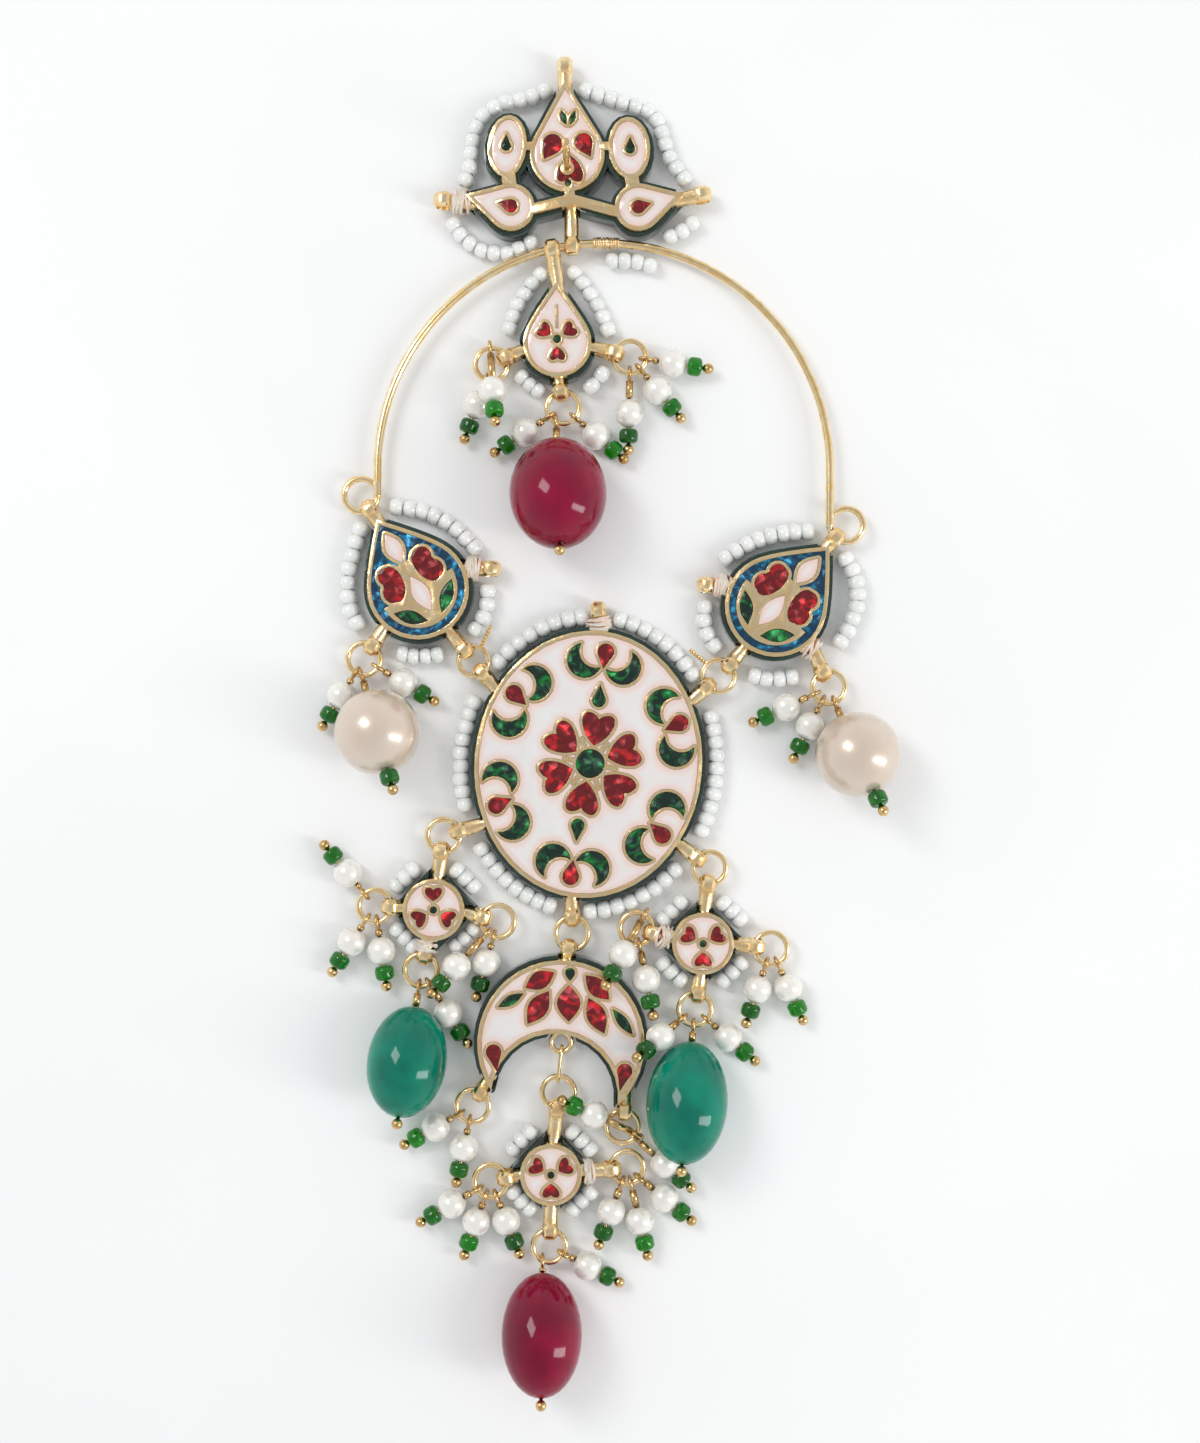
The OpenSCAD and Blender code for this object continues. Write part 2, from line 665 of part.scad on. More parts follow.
// Hoop: an open half circle with two legs that curl outward into round eyes
module hoop() {
  color(gold) translate([0, 0, wire_z]) {
    translate(hoop_at) rotate_extrude(angle = 180, $fn = 72)
      translate([hoop_r, 0]) circle(d = hoop_wire, $fn = 24);
    hoop_end(hoop_at[0] - hoop_r, left_eye);
    hoop_end(hoop_at[0] + hoop_r, right_eye);
  }
}
eye_turn = 320;
module hoop_end(x, eye) {
  left = eye[0] < x;
  translate([x, eye[1], 0]) rotate([-90, 0, 0]) cylinder(d = hoop_wire, h = hoop_at[1] - eye[1]);
  translate([x, eye[1], 0]) sphere(d = hoop_wire);
  translate(eye) rotate(left ? -eye_turn : 180) rotate_extrude(angle = eye_turn, $fn = 32)
    translate([eye_r, 0]) circle(d = eye_wire, $fn = 16);
}

// Jump rings
module rings(places) {
  color(gold) for (p = places) translate([p[0], p[1], wire_z]) hoop_wire_ring(ring_r, ring_wire);
}

// Head pins: an eye round the ring, a wrapped neck, the shank, and a gold ball at the end
pin_eye_r = 0.7;
rest_gap = 0.05;
bore_d = 0.6;
neck_d = 0.8;
bead_play = 0.1;
function rest_z(e, half_len, half_w) =
  sqrt(pow(half_len * sin(e), 2) + pow(half_w * cos(e), 2)) + rest_gap;
// Slope at which a drop lies on the ground and its pin still meets the ring
function lie(e, plan, half_len, half_w, n) = n == 0 ? e
  : lie(atan((rest_z(e, half_len, half_w) - wire_z) / plan), plan, half_len, half_w, n - 1);
function slope_small(p) = let (plan = p[2] - p[4] * ring_r)
  atan((pearl_d / 2 + rest_gap + p[3] - wire_z) / plan);
function reach_small(p) = (p[2] - p[4] * ring_r) / cos(slope_small(p));
function slope_large(b) = lie(20, b[2] - ring_r, b[3], b[4], 12);
function reach_large(b) = (b[2] - ring_r) / cos(slope_large(b));
function green_from(p) = reach_small(p) + pearl_d / 2 + bead_play + green_len / 2;
function ball_from(p) = green_from(p) + green_len / 2 + bead_play + ball_d / 2;
// The pin's own frame: the origin in the eye, +X along the shank
module on_small(p) {
  translate([p[0][0] + p[4] * ring_r * cos(p[1]), p[0][1] + p[4] * ring_r * sin(p[1]), wire_z])
    rotate([0, -slope_small(p), p[1]]) children();
}
module on_large(b) {
  translate([b[0][0] + ring_r * cos(b[1]), b[0][1] + ring_r * sin(b[1]), wire_z])
    rotate([0, -slope_large(b), b[1] + b[5]]) children();
}
module pin(bead_start, ball_at) {
  rotate([90, 0, 0]) hoop_wire_ring(pin_eye_r, pin_wire);
  rotate([0, 90, 0]) {
    translate([0, 0, pin_eye_r]) cylinder(d = pin_wire, h = ball_at - pin_eye_r, $fn = 16);
    translate([0, 0, pin_eye_r + pin_wire / 2 - 0.05])
      cylinder(d = neck_d, h = bead_start - bead_play - pin_eye_r - pin_wire / 2 + 0.05, $fn = 16);
    translate([0, 0, ball_at]) sphere(d = ball_d);
  }
}
module pins(small, large) {
  color(gold) {
    for (p = small) on_small(p) pin(reach_small(p) - pearl_d / 2, ball_from(p));
    for (b = large) on_large(b)
      pin(reach_large(b) - b[3], reach_large(b) + b[3] + end_room(b) + ball_d / 2);
  }
}
// Room between a large drop and the ball: the two large pearls have a green bead there
function is_pearl(b) = b[3] == big_pearl_d / 2;
function end_room(b) = is_pearl(b) ? green_len + 2 * bead_play : bead_play;
module along_x(d) {
  translate([d, 0, 0]) rotate([0, 90, 0]) children();
}
module bore(h) {
  cylinder(d = bore_d, h = h + 2 * over, center = true, $fn = 16);
}
module pearls(small) {
  color(pearl_white) for (p = small) on_small(p) along_x(reach_small(p)) difference() {
    sphere(d = pearl_d, $fn = 32);
    bore(pearl_d);
  }
}
green_round = 0.5;
module green_bead() {
  difference() {
    rotate_extrude($fn = 24) intersection() {
      offset(r = green_round, $fn = 16)
        square([green_d - 2 * green_round, green_len - 2 * green_round], center = true);
      translate([0, -green_len]) square([green_d, 2 * green_len]);
    }
    bore(green_len);
  }
}
module greens(small, large) {
  color(leaf_green) {
    for (p = small) on_small(p) along_x(green_from(p)) green_bead();
    for (b = large) on_large(b)
      along_x(reach_large(b) + b[3] + bead_play + green_len / 2) green_bead();
  }
}
module large_pearl(b) {
  color("#f0dfcf") on_large(b) along_x(reach_large(b)) difference() {
    sphere(r = b[3], $fn = 48);
    bore(2 * b[3]);
  }
}
function half_oval(half_len, half_w, n) = concat([[0, -half_len]],
  [for (i = [1:n - 1]) let (t = -90 + 180 * i / n) [half_w * cos(t), half_len * sin(t)]],
  [[0, half_len]]);
module oval_bead(b, tint) {
  color(tint) on_large(b) along_x(reach_large(b)) difference() {
    rotate_extrude($fn = 48) polygon(half_oval(b[3], b[4], 20));
    bore(2 * b[3]);
  }
}

// Links of twisted wire between the pendants and the medallion, each with a cut tail
tail_d = 0.55;
module link(a, b, tail_from, tail_to) {
  m = (a + b) / 2;
  r = span(a, b) / 2;
  rise = 0.7;
  p = m + r * unit(tail_from);
  flat = span(p, tail_to);
  color(gold) {
    translate([m[0], m[1], wire_z]) hoop_wire_ring(r, ring_wire);
    translate([p[0], p[1], wire_z]) rotate(along(p, tail_to)) rotate([0, 90 - atan(rise / flat), 0]) {
      cylinder(d = tail_d, h = norm([flat, rise]), $fn = 16);
      translate([0, 0, norm([flat, rise])]) sphere(d = tail_d, $fn = 16);
    }
  }
}

// Link that stands upright between the eyelet of the crescent and the ring below it
low_link_wire = 0.4;
low_link_r = 0.65;
module low_link() {
  top = crescent_eyelet - [0, eyelet_r];
  low = crescent_low_ring + [0, ring_r];
  color(gold) translate([(top[0] + low[0]) / 2, (top[1] + low[1]) / 2, wire_z])
    rotate([90, 0, along(low, top)]) {
      half = span(low, top) / 2;
      for (s = [0, 180]) rotate(s) {
        translate([half, 0]) rotate(-90) rotate_extrude(angle = 180, $fn = 24)
          translate([low_link_r, 0]) circle(d = low_link_wire, $fn = 16);
        translate([-half, low_link_r]) rotate([0, 90, 0])
          cylinder(d = low_link_wire, h = 2 * half, $fn = 16);
      }
    }
}

// Strands of seed beads, as tubes along points chosen by hand
strand_lift = 0.1;
strand_z = strand_d / 2 + strand_lift;
strand_sides = 8;
module tube(pts) {
  n = len(pts);
  dirs = [for (i = [0:n - 1]) let (d = pts[min(i + 1, n - 1)] - pts[max(i - 1, 0)]) d / norm(d)];
  corner = [for (i = [0:n - 1], k = [0:strand_sides - 1])
    let (t = 360 * (k + 0.5) / strand_sides, r = strand_d / 2, across = [dirs[i][1], -dirs[i][0]])
    [pts[i][0] + across[0] * r * cos(t), pts[i][1] + across[1] * r * cos(t), strand_z + r * sin(t)]];
  sides = [for (i = [0:n - 2], k = [0:strand_sides - 1]) let (j = (k + 1) % strand_sides)
    [i * strand_sides + k, i * strand_sides + j, (i + 1) * strand_sides + j, (i + 1) * strand_sides + k]];
  ends = [
    [for (k = [strand_sides - 1:-1:0]) k],
    [for (k = [0:strand_sides - 1]) (n - 1) * strand_sides + k]
  ];
  polyhedron(corner, concat(sides, ends), convexity = 4);
}
module strands(paths) {
  color("#eef0ee") for (p = paths) tube(p);
}
STUD_STRANDS = [
  [[-7.0, 70.6], [-9.6, 69.6], [-12.2, 69.0], [-14.6, 67.2], [-15.4, 64.4], [-15.6, 61.8], [-16.2, 60.4]],
  [[-3.1, 70.6], [-0.5, 69.8], [2.2, 69.0], [4.5, 68.0], [5.7, 65.8], [6.2, 63.8], [7.2, 62.0], [8.3, 60.5]],
  [[-17.6, 56.0], [-16.1, 54.1], [-13.9, 52.8], [-11.5, 52.6], [-9.7, 53.3], [-8.7, 53.8]],
  [[-0.1, 51.7], [2.2, 51.7], [4.6, 51.2]],
  [[6.3, 54.3], [7.8, 55.0], [9.2, 56.1]]
];
DROP_STRANDS = [
  [[-4.2, 50.6], [-2.6, 48.5], [-1.2, 46.2], [-0.3, 43.8]],
  [[-7.6, 50.4], [-9.3, 48.5], [-10.5, 46.2], [-11.3, 43.9]],
  [[-0.8, 39.5], [-1.5, 38.5], [-2.5, 37.5]],
  [[-10.0, 39.0], [-8.9, 37.9], [-7.9, 37.2]]
];
LEFT_STRANDS = [
  [[-24.0, 24.4], [-21.6, 24.1], [-19.0, 23.2], [-16.8, 21.6], [-15.0, 19.6]],
  [[-13.7, 15.4], [-13.8, 13.5], [-14.4, 11.8], [-15.2, 10.6]],
  [[-23.3, 8.1], [-21.2, 7.8], [-19.1, 8.1]],
  [[-27.6, 22.2], [-28.5, 19.6], [-29.1, 16.6], [-29.0, 13.6], [-28.0, 11.3]]
];
RIGHT_STRANDS = [
  [[22.1, 21.7], [19.6, 21.5], [16.8, 20.9], [14.3, 19.7], [12.6, 18.6]],
  [[10.4, 13.6], [10.3, 12.0], [10.8, 10.2], [11.6, 8.8]],
  [[15.7, 5.7], [18.0, 5.3], [20.3, 5.6]],
  [[25.9, 18.8], [27.1, 16.6], [27.3, 14.0], [26.6, 11.3], [25.4, 9.3]]
];
medal_strand = 1.65;
function medal_arc(t0, t1, n) = moved(turned([for (i = [0:n]) let (t = t0 + (t1 - t0) * i / n)
  [(medal_a + medal_strand) * cos(t), (medal_b + medal_strand) * sin(t)]], medal_turn), medal_at);
MEDAL_STRANDS = [
  medal_arc(83, 41, 3), medal_arc(24, -23, 3), medal_arc(-40, -84, 3),
  medal_arc(-100, -141, 3), medal_arc(202, 159, 3), medal_arc(142, 98, 3)
];
function round_strands(c) = [for (i = [0:3])
  moved(turned([[2.2, 4.4], [3.35, 3.35], [4.4, 2.2]], 90 * i), c)];

// Nodes
module whole() {
  translate([-middle[0], -middle[1], 0]) children();
}
module stud_setting() {
  setting(STUD);
}
module upper_drop_setting() {
  setting(DROP);
}
module left_pendant_setting() {
  setting(LEFT);
}
module right_pendant_setting() {
  setting(RIGHT);
}
module medallion_setting() {
  setting(MEDAL);
}
module lower_left_setting() {
  setting(LOW_LEFT);
}
module lower_right_setting() {
  setting(LOW_RIGHT);
}
module crescent_setting() {
  setting(CRESCENT);
}
module bottom_setting() {
  setting(BOTTOM);
}
module ruby_bead_upper() {
  oval_bead(DROP_RUBY, "#8e1446");
}
module ruby_bead_lower() {
  oval_bead(BOTTOM_RUBY, "#8e1446");
}
module green_bead_left() {
  oval_bead(LOW_LEFT_GREEN, "#0f8a6b");
}
module green_bead_right() {
  oval_bead(LOW_RIGHT_GREEN, "#0f8a6b");
}
module large_pearl_left() {
  large_pearl(LEFT_PEARL);
}
module large_pearl_right() {
  large_pearl(RIGHT_PEARL);
}
module upper_drop_rings() {
  rings([drop_low_ring, drop_left_ring, drop_right_ring]);
}
module left_pendant_rings() {
  rings([left_ring]);
}
module right_pendant_rings() {
  rings([right_ring]);
}
module lower_left_rings() {
  rings([low_left_top_ring, low_left_side_ring, low_left_inner_ring, low_left_low_ring]);
}
module lower_right_rings() {
  rings([low_right_top_ring, low_right_side_ring, low_right_inner_ring, low_right_low_ring]);
}
module crescent_rings() {
  rings([crescent_top_ring, crescent_left_ring, crescent_right_ring, crescent_low_ring]);
  low_link();
}
module bottom_rings() {
  rings([bottom_left_ring, bottom_right_ring, bottom_low_ring]);
}
module upper_drop_pins() {
  pins(DROP_PINS, [DROP_RUBY]);
}
module left_pendant_pins() {
  pins(LEFT_PINS, [LEFT_PEARL]);
}
module right_pendant_pins() {
  pins(RIGHT_PINS, [RIGHT_PEARL]);
}
module lower_left_pins() {
  pins(LOW_LEFT_PINS, [LOW_LEFT_GREEN]);
}
module lower_right_pins() {
  pins(LOW_RIGHT_PINS, [LOW_RIGHT_GREEN]);
}
module crescent_pins() {
  pins(CRESCENT_PINS, []);
}
module bottom_pins() {
  pins(BOTTOM_PINS, [BOTTOM_RUBY]);
}
module upper_drop_pearls() {
  pearls(DROP_PINS);
}
module left_pendant_pearls() {
  pearls(LEFT_PINS);
}
module right_pendant_pearls() {
  pearls(RIGHT_PINS);
}
module lower_left_pearls() {
  pearls(LOW_LEFT_PINS);
}
module lower_right_pearls() {
  pearls(LOW_RIGHT_PINS);
}
module crescent_pearls() {
  pearls(CRESCENT_PINS);
}
module bottom_pearls() {
  pearls(BOTTOM_PINS);
}
module upper_drop_greens() {
  greens(DROP_PINS, []);
}
module left_pendant_greens() {
  greens(LEFT_PINS, [LEFT_PEARL]);
}
module right_pendant_greens() {
  greens(RIGHT_PINS, [RIGHT_PEARL]);
}
module lower_left_greens() {
  greens(LOW_LEFT_PINS, []);
}
module lower_right_greens() {
  greens(LOW_RIGHT_PINS, []);
}
module crescent_greens() {
  greens(CRESCENT_PINS, []);
}
module bottom_greens() {
  greens(BOTTOM_PINS, []);
}
module left_link() {
  link(LEFT_LUGS[2][1], MEDAL_LUGS[1][1], 60, [-13.2, 11.2]);
}
module right_link() {
  link(RIGHT_LUGS[2][1], MEDAL_LUGS[2][1], 135, [8.7, 8.5]);
}
module stud_seeds() {
  strands(STUD_STRANDS);
}
module upper_drop_seeds() {
  strands(DROP_STRANDS);
}
module left_pendant_seeds() {
  strands(LEFT_STRANDS);
}
module right_pendant_seeds() {
  strands(RIGHT_STRANDS);
}
module medallion_seeds() {
  strands(MEDAL_STRANDS);
}
module lower_left_seeds() {
  strands(round_strands(low_left_at));
}
module lower_right_seeds() {
  strands(round_strands(low_right_at));
}
module bottom_seeds() {
  strands(round_strands(bottom_at));
}

whole() stud_setting();
whole() upper_drop_setting();
whole() left_pendant_setting();
whole() right_pendant_setting();
whole() medallion_setting();
whole() lower_left_setting();
whole() lower_right_setting();
whole() crescent_setting();
whole() bottom_setting();
whole() enamel_white();
whole() enamel_red();
whole() enamel_green();
whole() enamel_blue();
whole() enamel_walls();
whole() hoop();
whole() ruby_bead_upper();
whole() ruby_bead_lower();
whole() green_bead_left();
whole() green_bead_right();
whole() large_pearl_left();
whole() large_pearl_right();
whole() upper_drop_rings();
whole() left_pendant_rings();
whole() right_pendant_rings();
whole() lower_left_rings();
whole() lower_right_rings();
whole() crescent_rings();
whole() bottom_rings();
whole() upper_drop_pins();
whole() left_pendant_pins();
whole() right_pendant_pins();
whole() lower_left_pins();
whole() lower_right_pins();
whole() crescent_pins();
whole() bottom_pins();
whole() upper_drop_pearls();
whole() left_pendant_pearls();
whole() right_pendant_pearls();
whole() lower_left_pearls();
whole() lower_right_pearls();
whole() crescent_pearls();
whole() bottom_pearls();
whole() upper_drop_greens();
whole() left_pendant_greens();
whole() right_pendant_greens();
whole() lower_left_greens();
whole() lower_right_greens();
whole() crescent_greens();
whole() bottom_greens();
whole() left_link();
whole() right_link();
whole() stud_seeds();
whole() upper_drop_seeds();
whole() left_pendant_seeds();
whole() right_pendant_seeds();
whole() medallion_seeds();
whole() lower_left_seeds();
whole() lower_right_seeds();
whole() bottom_seeds();
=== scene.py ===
"""Chandbali earring, lying on a pale cloth with its enamelled reverse side up."""

import math
import random

import bpy
from bpy.props import FloatProperty, FloatVectorProperty, IntProperty, PointerProperty
from bpy.types import Operator, Panel, PropertyGroup
from mathutils import Matrix, Vector


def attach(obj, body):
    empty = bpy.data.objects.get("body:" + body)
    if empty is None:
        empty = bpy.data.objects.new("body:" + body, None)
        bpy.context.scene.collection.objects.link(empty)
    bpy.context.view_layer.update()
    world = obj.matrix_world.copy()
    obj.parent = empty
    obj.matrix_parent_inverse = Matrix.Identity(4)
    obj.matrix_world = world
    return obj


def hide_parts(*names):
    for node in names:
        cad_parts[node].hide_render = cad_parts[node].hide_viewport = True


bl_info = {
    "name": "Chandbali Earring",
    "version": (1, 0, 0),
    "blender": (4, 5, 0),
    "location": "View3D > Sidebar > Earring",
    "description": "Dresses the packed earring with gold, enamel, pearls and strung beads",
    "category": "Object",
}

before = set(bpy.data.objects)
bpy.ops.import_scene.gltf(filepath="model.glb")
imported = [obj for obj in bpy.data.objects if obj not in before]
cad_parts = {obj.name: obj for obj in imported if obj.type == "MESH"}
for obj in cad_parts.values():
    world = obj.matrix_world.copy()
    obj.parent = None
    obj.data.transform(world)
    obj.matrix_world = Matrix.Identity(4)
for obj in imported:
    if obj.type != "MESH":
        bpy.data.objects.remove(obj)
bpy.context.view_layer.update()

MM = 0.001
# Middle of the lying earring in the drawing's own millimetres
MIDDLE = (-0.4425, 0.203)
# Heights of the wires and of the strung seed beads above the floor
WIRE_Z = 1.8
SEED_Z = 1.1
# Corners of a CAD mesh that lie closer together than this are one corner
SAME_CORNER = 0.002 * MM


def at(x, y, z=0.0):
    """A point of the drawing, in millimetres, as a point of the frame, in metres."""
    return Vector(((x - MIDDLE[0]) * MM, (y - MIDDLE[1]) * MM, z * MM))


# Routes of the strung seed beads, in millimetres of the drawing
STUD_ROUTES = [
    [
        (-7.0, 70.6), (-9.6, 69.6), (-12.2, 69.0), (-14.6, 67.2),
        (-15.4, 64.4), (-15.6, 61.8), (-16.2, 60.4),
    ],
    [
        (-3.1, 70.6), (-0.5, 69.8), (2.2, 69.0), (4.5, 68.0),
        (5.7, 65.8), (6.2, 63.8), (7.2, 62.0), (8.3, 60.5),
    ],
    [(-17.6, 56.0), (-16.1, 54.1), (-13.9, 52.8), (-11.5, 52.6), (-9.7, 53.3), (-8.7, 53.8)],
    [(-0.1, 51.7), (2.2, 51.7), (4.6, 51.2)],
    [(6.3, 54.3), (7.8, 55.0), (9.2, 56.1)],
]
DROP_ROUTES = [
    [(-4.2, 50.6), (-2.6, 48.5), (-1.2, 46.2), (-0.3, 43.8)],
    [(-7.6, 50.4), (-9.3, 48.5), (-10.5, 46.2), (-11.3, 43.9)],
    [(-0.8, 39.5), (-1.5, 38.5), (-2.5, 37.5)],
    [(-10.0, 39.0), (-8.9, 37.9), (-7.9, 37.2)],
]
LEFT_ROUTES = [
    [(-24.0, 24.4), (-21.6, 24.1), (-19.0, 23.2), (-16.8, 21.6), (-15.0, 19.6)],
    [(-13.7, 15.4), (-13.8, 13.5), (-14.4, 11.8), (-15.2, 10.6)],
    [(-23.3, 8.1), (-21.2, 7.8), (-19.1, 8.1)],
    [(-27.6, 22.2), (-28.5, 19.6), (-29.1, 16.6), (-29.0, 13.6), (-28.0, 11.3)],
]
RIGHT_ROUTES = [
    [(22.1, 21.7), (19.6, 21.5), (16.8, 20.9), (14.3, 19.7), (12.6, 18.6)],
    [(10.4, 13.6), (10.3, 12.0), (10.8, 10.2), (11.6, 8.8)],
    [(15.7, 5.7), (18.0, 5.3), (20.3, 5.6)],
    [(25.9, 18.8), (27.1, 16.6), (27.3, 14.0), (26.6, 11.3), (25.4, 9.3)],
]
# The medallion: middle, turn, half width and half height, and how far its beads lie outside it
MEDAL_AT = (-2.5, -4.1)
MEDAL_TURN = -5.5
MEDAL_A = 12.5
MEDAL_B = 14.7
MEDAL_OUT = 1.65
# Where each of its strings starts and ends, in degrees, and the number of steps between
MEDAL_ARCS = [(83, 41), (24, -23), (-40, -84), (-100, -141), (202, 159), (142, 98)]
ARC_STEPS = 6
# The three round settings, and the string across one corner of their diamond
LOW_LEFT_AT = (-19.5, -20.1)
LOW_RIGHT_AT = (10.1, -23.8)
BOTTOM_AT = (-6.6, -49.2)
CORNER_ROUTE = [(2.2, 4.4), (3.35, 3.35), (4.4, 2.2)]
# The hoop: middle and radius
HOOP_AT = (-0.8, 28.5)
HOOP_R = 25.0


def turned(x, y, degrees):
    """A point turned round the origin."""
    c, s = math.cos(math.radians(degrees)), math.sin(math.radians(degrees))
    return x * c - y * s, x * s + y * c


def medal_routes():
    """Arcs of an oval round the medallion, open where its lugs leave."""
    routes = []
    for start, end in MEDAL_ARCS:
        points = []
        for i in range(ARC_STEPS + 1):
            t = math.radians(start + (end - start) * i / ARC_STEPS)
            across, up = (MEDAL_A + MEDAL_OUT) * math.cos(t), (MEDAL_B + MEDAL_OUT) * math.sin(t)
            x, y = turned(across, up, MEDAL_TURN)
            points.append((MEDAL_AT[0] + x, MEDAL_AT[1] + y))
        routes.append(points)
    return routes


def round_routes(middle):
    """One short string across each of the four corners of a round setting's diamond."""
    routes = []
    for i in range(4):
        corner = [turned(x, y, 90 * i) for x, y in CORNER_ROUTE]
        routes.append([(middle[0] + x, middle[1] + y) for x, y in corner])
    return routes


# Small helpers


def deselect():
    """Leaves edit mode and selects nothing."""
    if bpy.context.object and bpy.context.object.mode != "OBJECT":
        bpy.ops.object.mode_set(mode="OBJECT")
    bpy.ops.object.select_all(action="DESELECT")


def only(piece):
    """Makes the piece the only selected one and the active one."""
    deselect()
    piece.select_set(True)
    bpy.context.view_layer.objects.active = piece


def finish_piece(piece, name, material, nodes=()):
    """Names a finished piece, bakes its place into its mesh and hands it to the frame."""
    only(piece)
    bpy.ops.object.transform_apply(location=True, rotation=True, scale=True)
    bpy.ops.object.shade_smooth_by_angle(angle=math.radians(50))
    piece.name = name
    piece.data.name = name
    piece.data.materials.clear()
    piece.data.materials.append(material)
    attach(piece, "root")
    if nodes:
        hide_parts(*nodes)


def join(pieces):
    """One object made of all the pieces."""
    deselect()
    for piece in pieces:
        piece.select_set(True)
    bpy.context.view_layer.objects.active = pieces[0]
    bpy.ops.object.join()
    return bpy.context.view_layer.objects.active


def copy_of(piece, matrix):
    """A copy with a mesh of its own, moved by the matrix."""
    other = piece.copy()
    other.data = piece.data.copy()
    other.data.transform(matrix)
    bpy.context.scene.collection.objects.link(other)
    return other


# Shader groups


def new_group(name, inputs, outputs):
    """A node group with the given sockets, and its inner input and output nodes."""
    group = bpy.data.node_groups.new(name, "ShaderNodeTree")
    for label, kind, default in inputs:
        socket = group.interface.new_socket(label, in_out="INPUT", socket_type=kind)
        socket.default_value = default
    for label, kind in outputs:
        group.interface.new_socket(label, in_out="OUTPUT", socket_type=kind)
    source = group.nodes.new("NodeGroupInput")
    target = group.nodes.new("NodeGroupOutput")
    return group, source, target


def cloud_group():
    """Soft cloudy variation between two colours."""
    if "cloud" in bpy.data.node_groups:
        return bpy.data.node_groups["cloud"]
    group, source, target = new_group(
        "cloud",
        [
            ("Scale", "NodeSocketFloat", 400.0),
            ("First", "NodeSocketColor", (1, 1, 1, 1)),
            ("Second", "NodeSocketColor", (0, 0, 0, 1)),
        ],
        [("Color", "NodeSocketColor"), ("Mask", "NodeSocketFloat")],
    )
    place = group.nodes.new("ShaderNodeTexCoord")
    noise = group.nodes.new("ShaderNodeTexNoise")
    noise.inputs["Detail"].default_value = 3.0
    noise.inputs["Distortion"].default_value = 0.4
    spread = group.nodes.new("ShaderNodeMapRange")
    spread.inputs["From Min"].default_value = 0.35
    spread.inputs["From Max"].default_value = 0.65
    mix = group.nodes.new("ShaderNodeMix")
    mix.data_type = "RGBA"
    link = group.links.new
    link(place.outputs["Object"], noise.inputs["Vector"])
    link(source.outputs["Scale"], noise.inputs["Scale"])
    link(noise.outputs["Fac"], spread.inputs["Value"])
    link(spread.outputs["Result"], mix.inputs["Factor"])
    link(source.outputs["First"], mix.inputs["A"])
    link(source.outputs["Second"], mix.inputs["B"])
    link(mix.outputs["Result"], target.inputs["Color"])
    link(spread.outputs["Result"], target.inputs["Mask"])
    return group


def ripple_group():
    """A fine uneven surface, as a height."""
    if "ripple" in bpy.data.node_groups:
        return bpy.data.node_groups["ripple"]
    group, source, target = new_group(
        "ripple",
        [("Coarse Scale", "NodeSocketFloat", 700.0), ("Fine Scale", "NodeSocketFloat", 3000.0)],
        [("Height", "NodeSocketFloat")],
    )
    place = group.nodes.new("ShaderNodeTexCoord")
    coarse = group.nodes.new("ShaderNodeTexNoise")
    fine = group.nodes.new("ShaderNodeTexNoise")
    coarse.inputs["Detail"].default_value = 1.0
    fine.inputs["Detail"].default_value = 2.0
    both = group.nodes.new("ShaderNodeMath")
    both.operation = "MULTIPLY_ADD"
    both.inputs[1].default_value = 0.25
    link = group.links.new
    link(place.outputs["Object"], coarse.inputs["Vector"])
    link(place.outputs["Object"], fine.inputs["Vector"])
    link(source.outputs["Coarse Scale"], coarse.inputs["Scale"])
    link(source.outputs["Fine Scale"], fine.inputs["Scale"])
    link(fine.outputs["Fac"], both.inputs[0])
    link(coarse.outputs["Fac"], both.inputs[2])
    link(both.outputs["Value"], target.inputs["Height"])
    return group


def foil_group():
    """Crumpled foil under clear enamel: facets as a height, and a noise mask where a glint is painted.
    """
    if "foil" in bpy.data.node_groups:
        return bpy.data.node_groups["foil"]
    group, source, target = new_group(
        "foil",
        [("Scale", "NodeSocketFloat", 900.0)],
        [("Height", "NodeSocketFloat"), ("Painted Glint", "NodeSocketFloat")],
    )
    place = group.nodes.new("ShaderNodeTexCoord")
    facets = group.nodes.new("ShaderNodeTexVoronoi")
    clouds = group.nodes.new("ShaderNodeTexNoise")
    clouds.inputs["Detail"].default_value = 2.0
    clouds.inputs["Distortion"].default_value = 1.2
    spread = group.nodes.new("ShaderNodeMapRange")
    spread.inputs["From Min"].default_value = 0.5
    spread.inputs["From Max"].default_value = 0.72
    link = group.links.new
    link(place.outputs["Object"], facets.inputs["Vector"])
    link(place.outputs["Object"], clouds.inputs["Vector"])
    link(source.outputs["Scale"], facets.inputs["Scale"])
    link(source.outputs["Scale"], clouds.inputs["Scale"])
    link(facets.outputs["Distance"], target.inputs["Height"])
    # The noise mask below marks where the enamel's brighter colour is painted as a glint.
    link(clouds.outputs["Fac"], spread.inputs["Value"])
    link(spread.outputs["Result"], target.inputs["Painted Glint"])
    return group


def material_base(name):
    """A material with only a principled shader, and what is needed to build on it."""
    material = bpy.data.materials.new(name)
    material.use_nodes = True
    nodes = material.node_tree.nodes
    nodes.clear()
    shader = nodes.new("ShaderNodeBsdfPrincipled")
    output = nodes.new("ShaderNodeOutputMaterial")
    material.node_tree.links.new(shader.outputs["BSDF"], output.inputs["Surface"])
    return material, nodes, material.node_tree.links.new, shader


def use_group(nodes, group, **values):
    """Puts a group into a material and sets its inputs by name."""
    node = nodes.new("ShaderNodeGroup")
    node.node_tree = group
    for label, value in values.items():
        node.inputs[label.replace("_", " ")].default_value = value
    return node


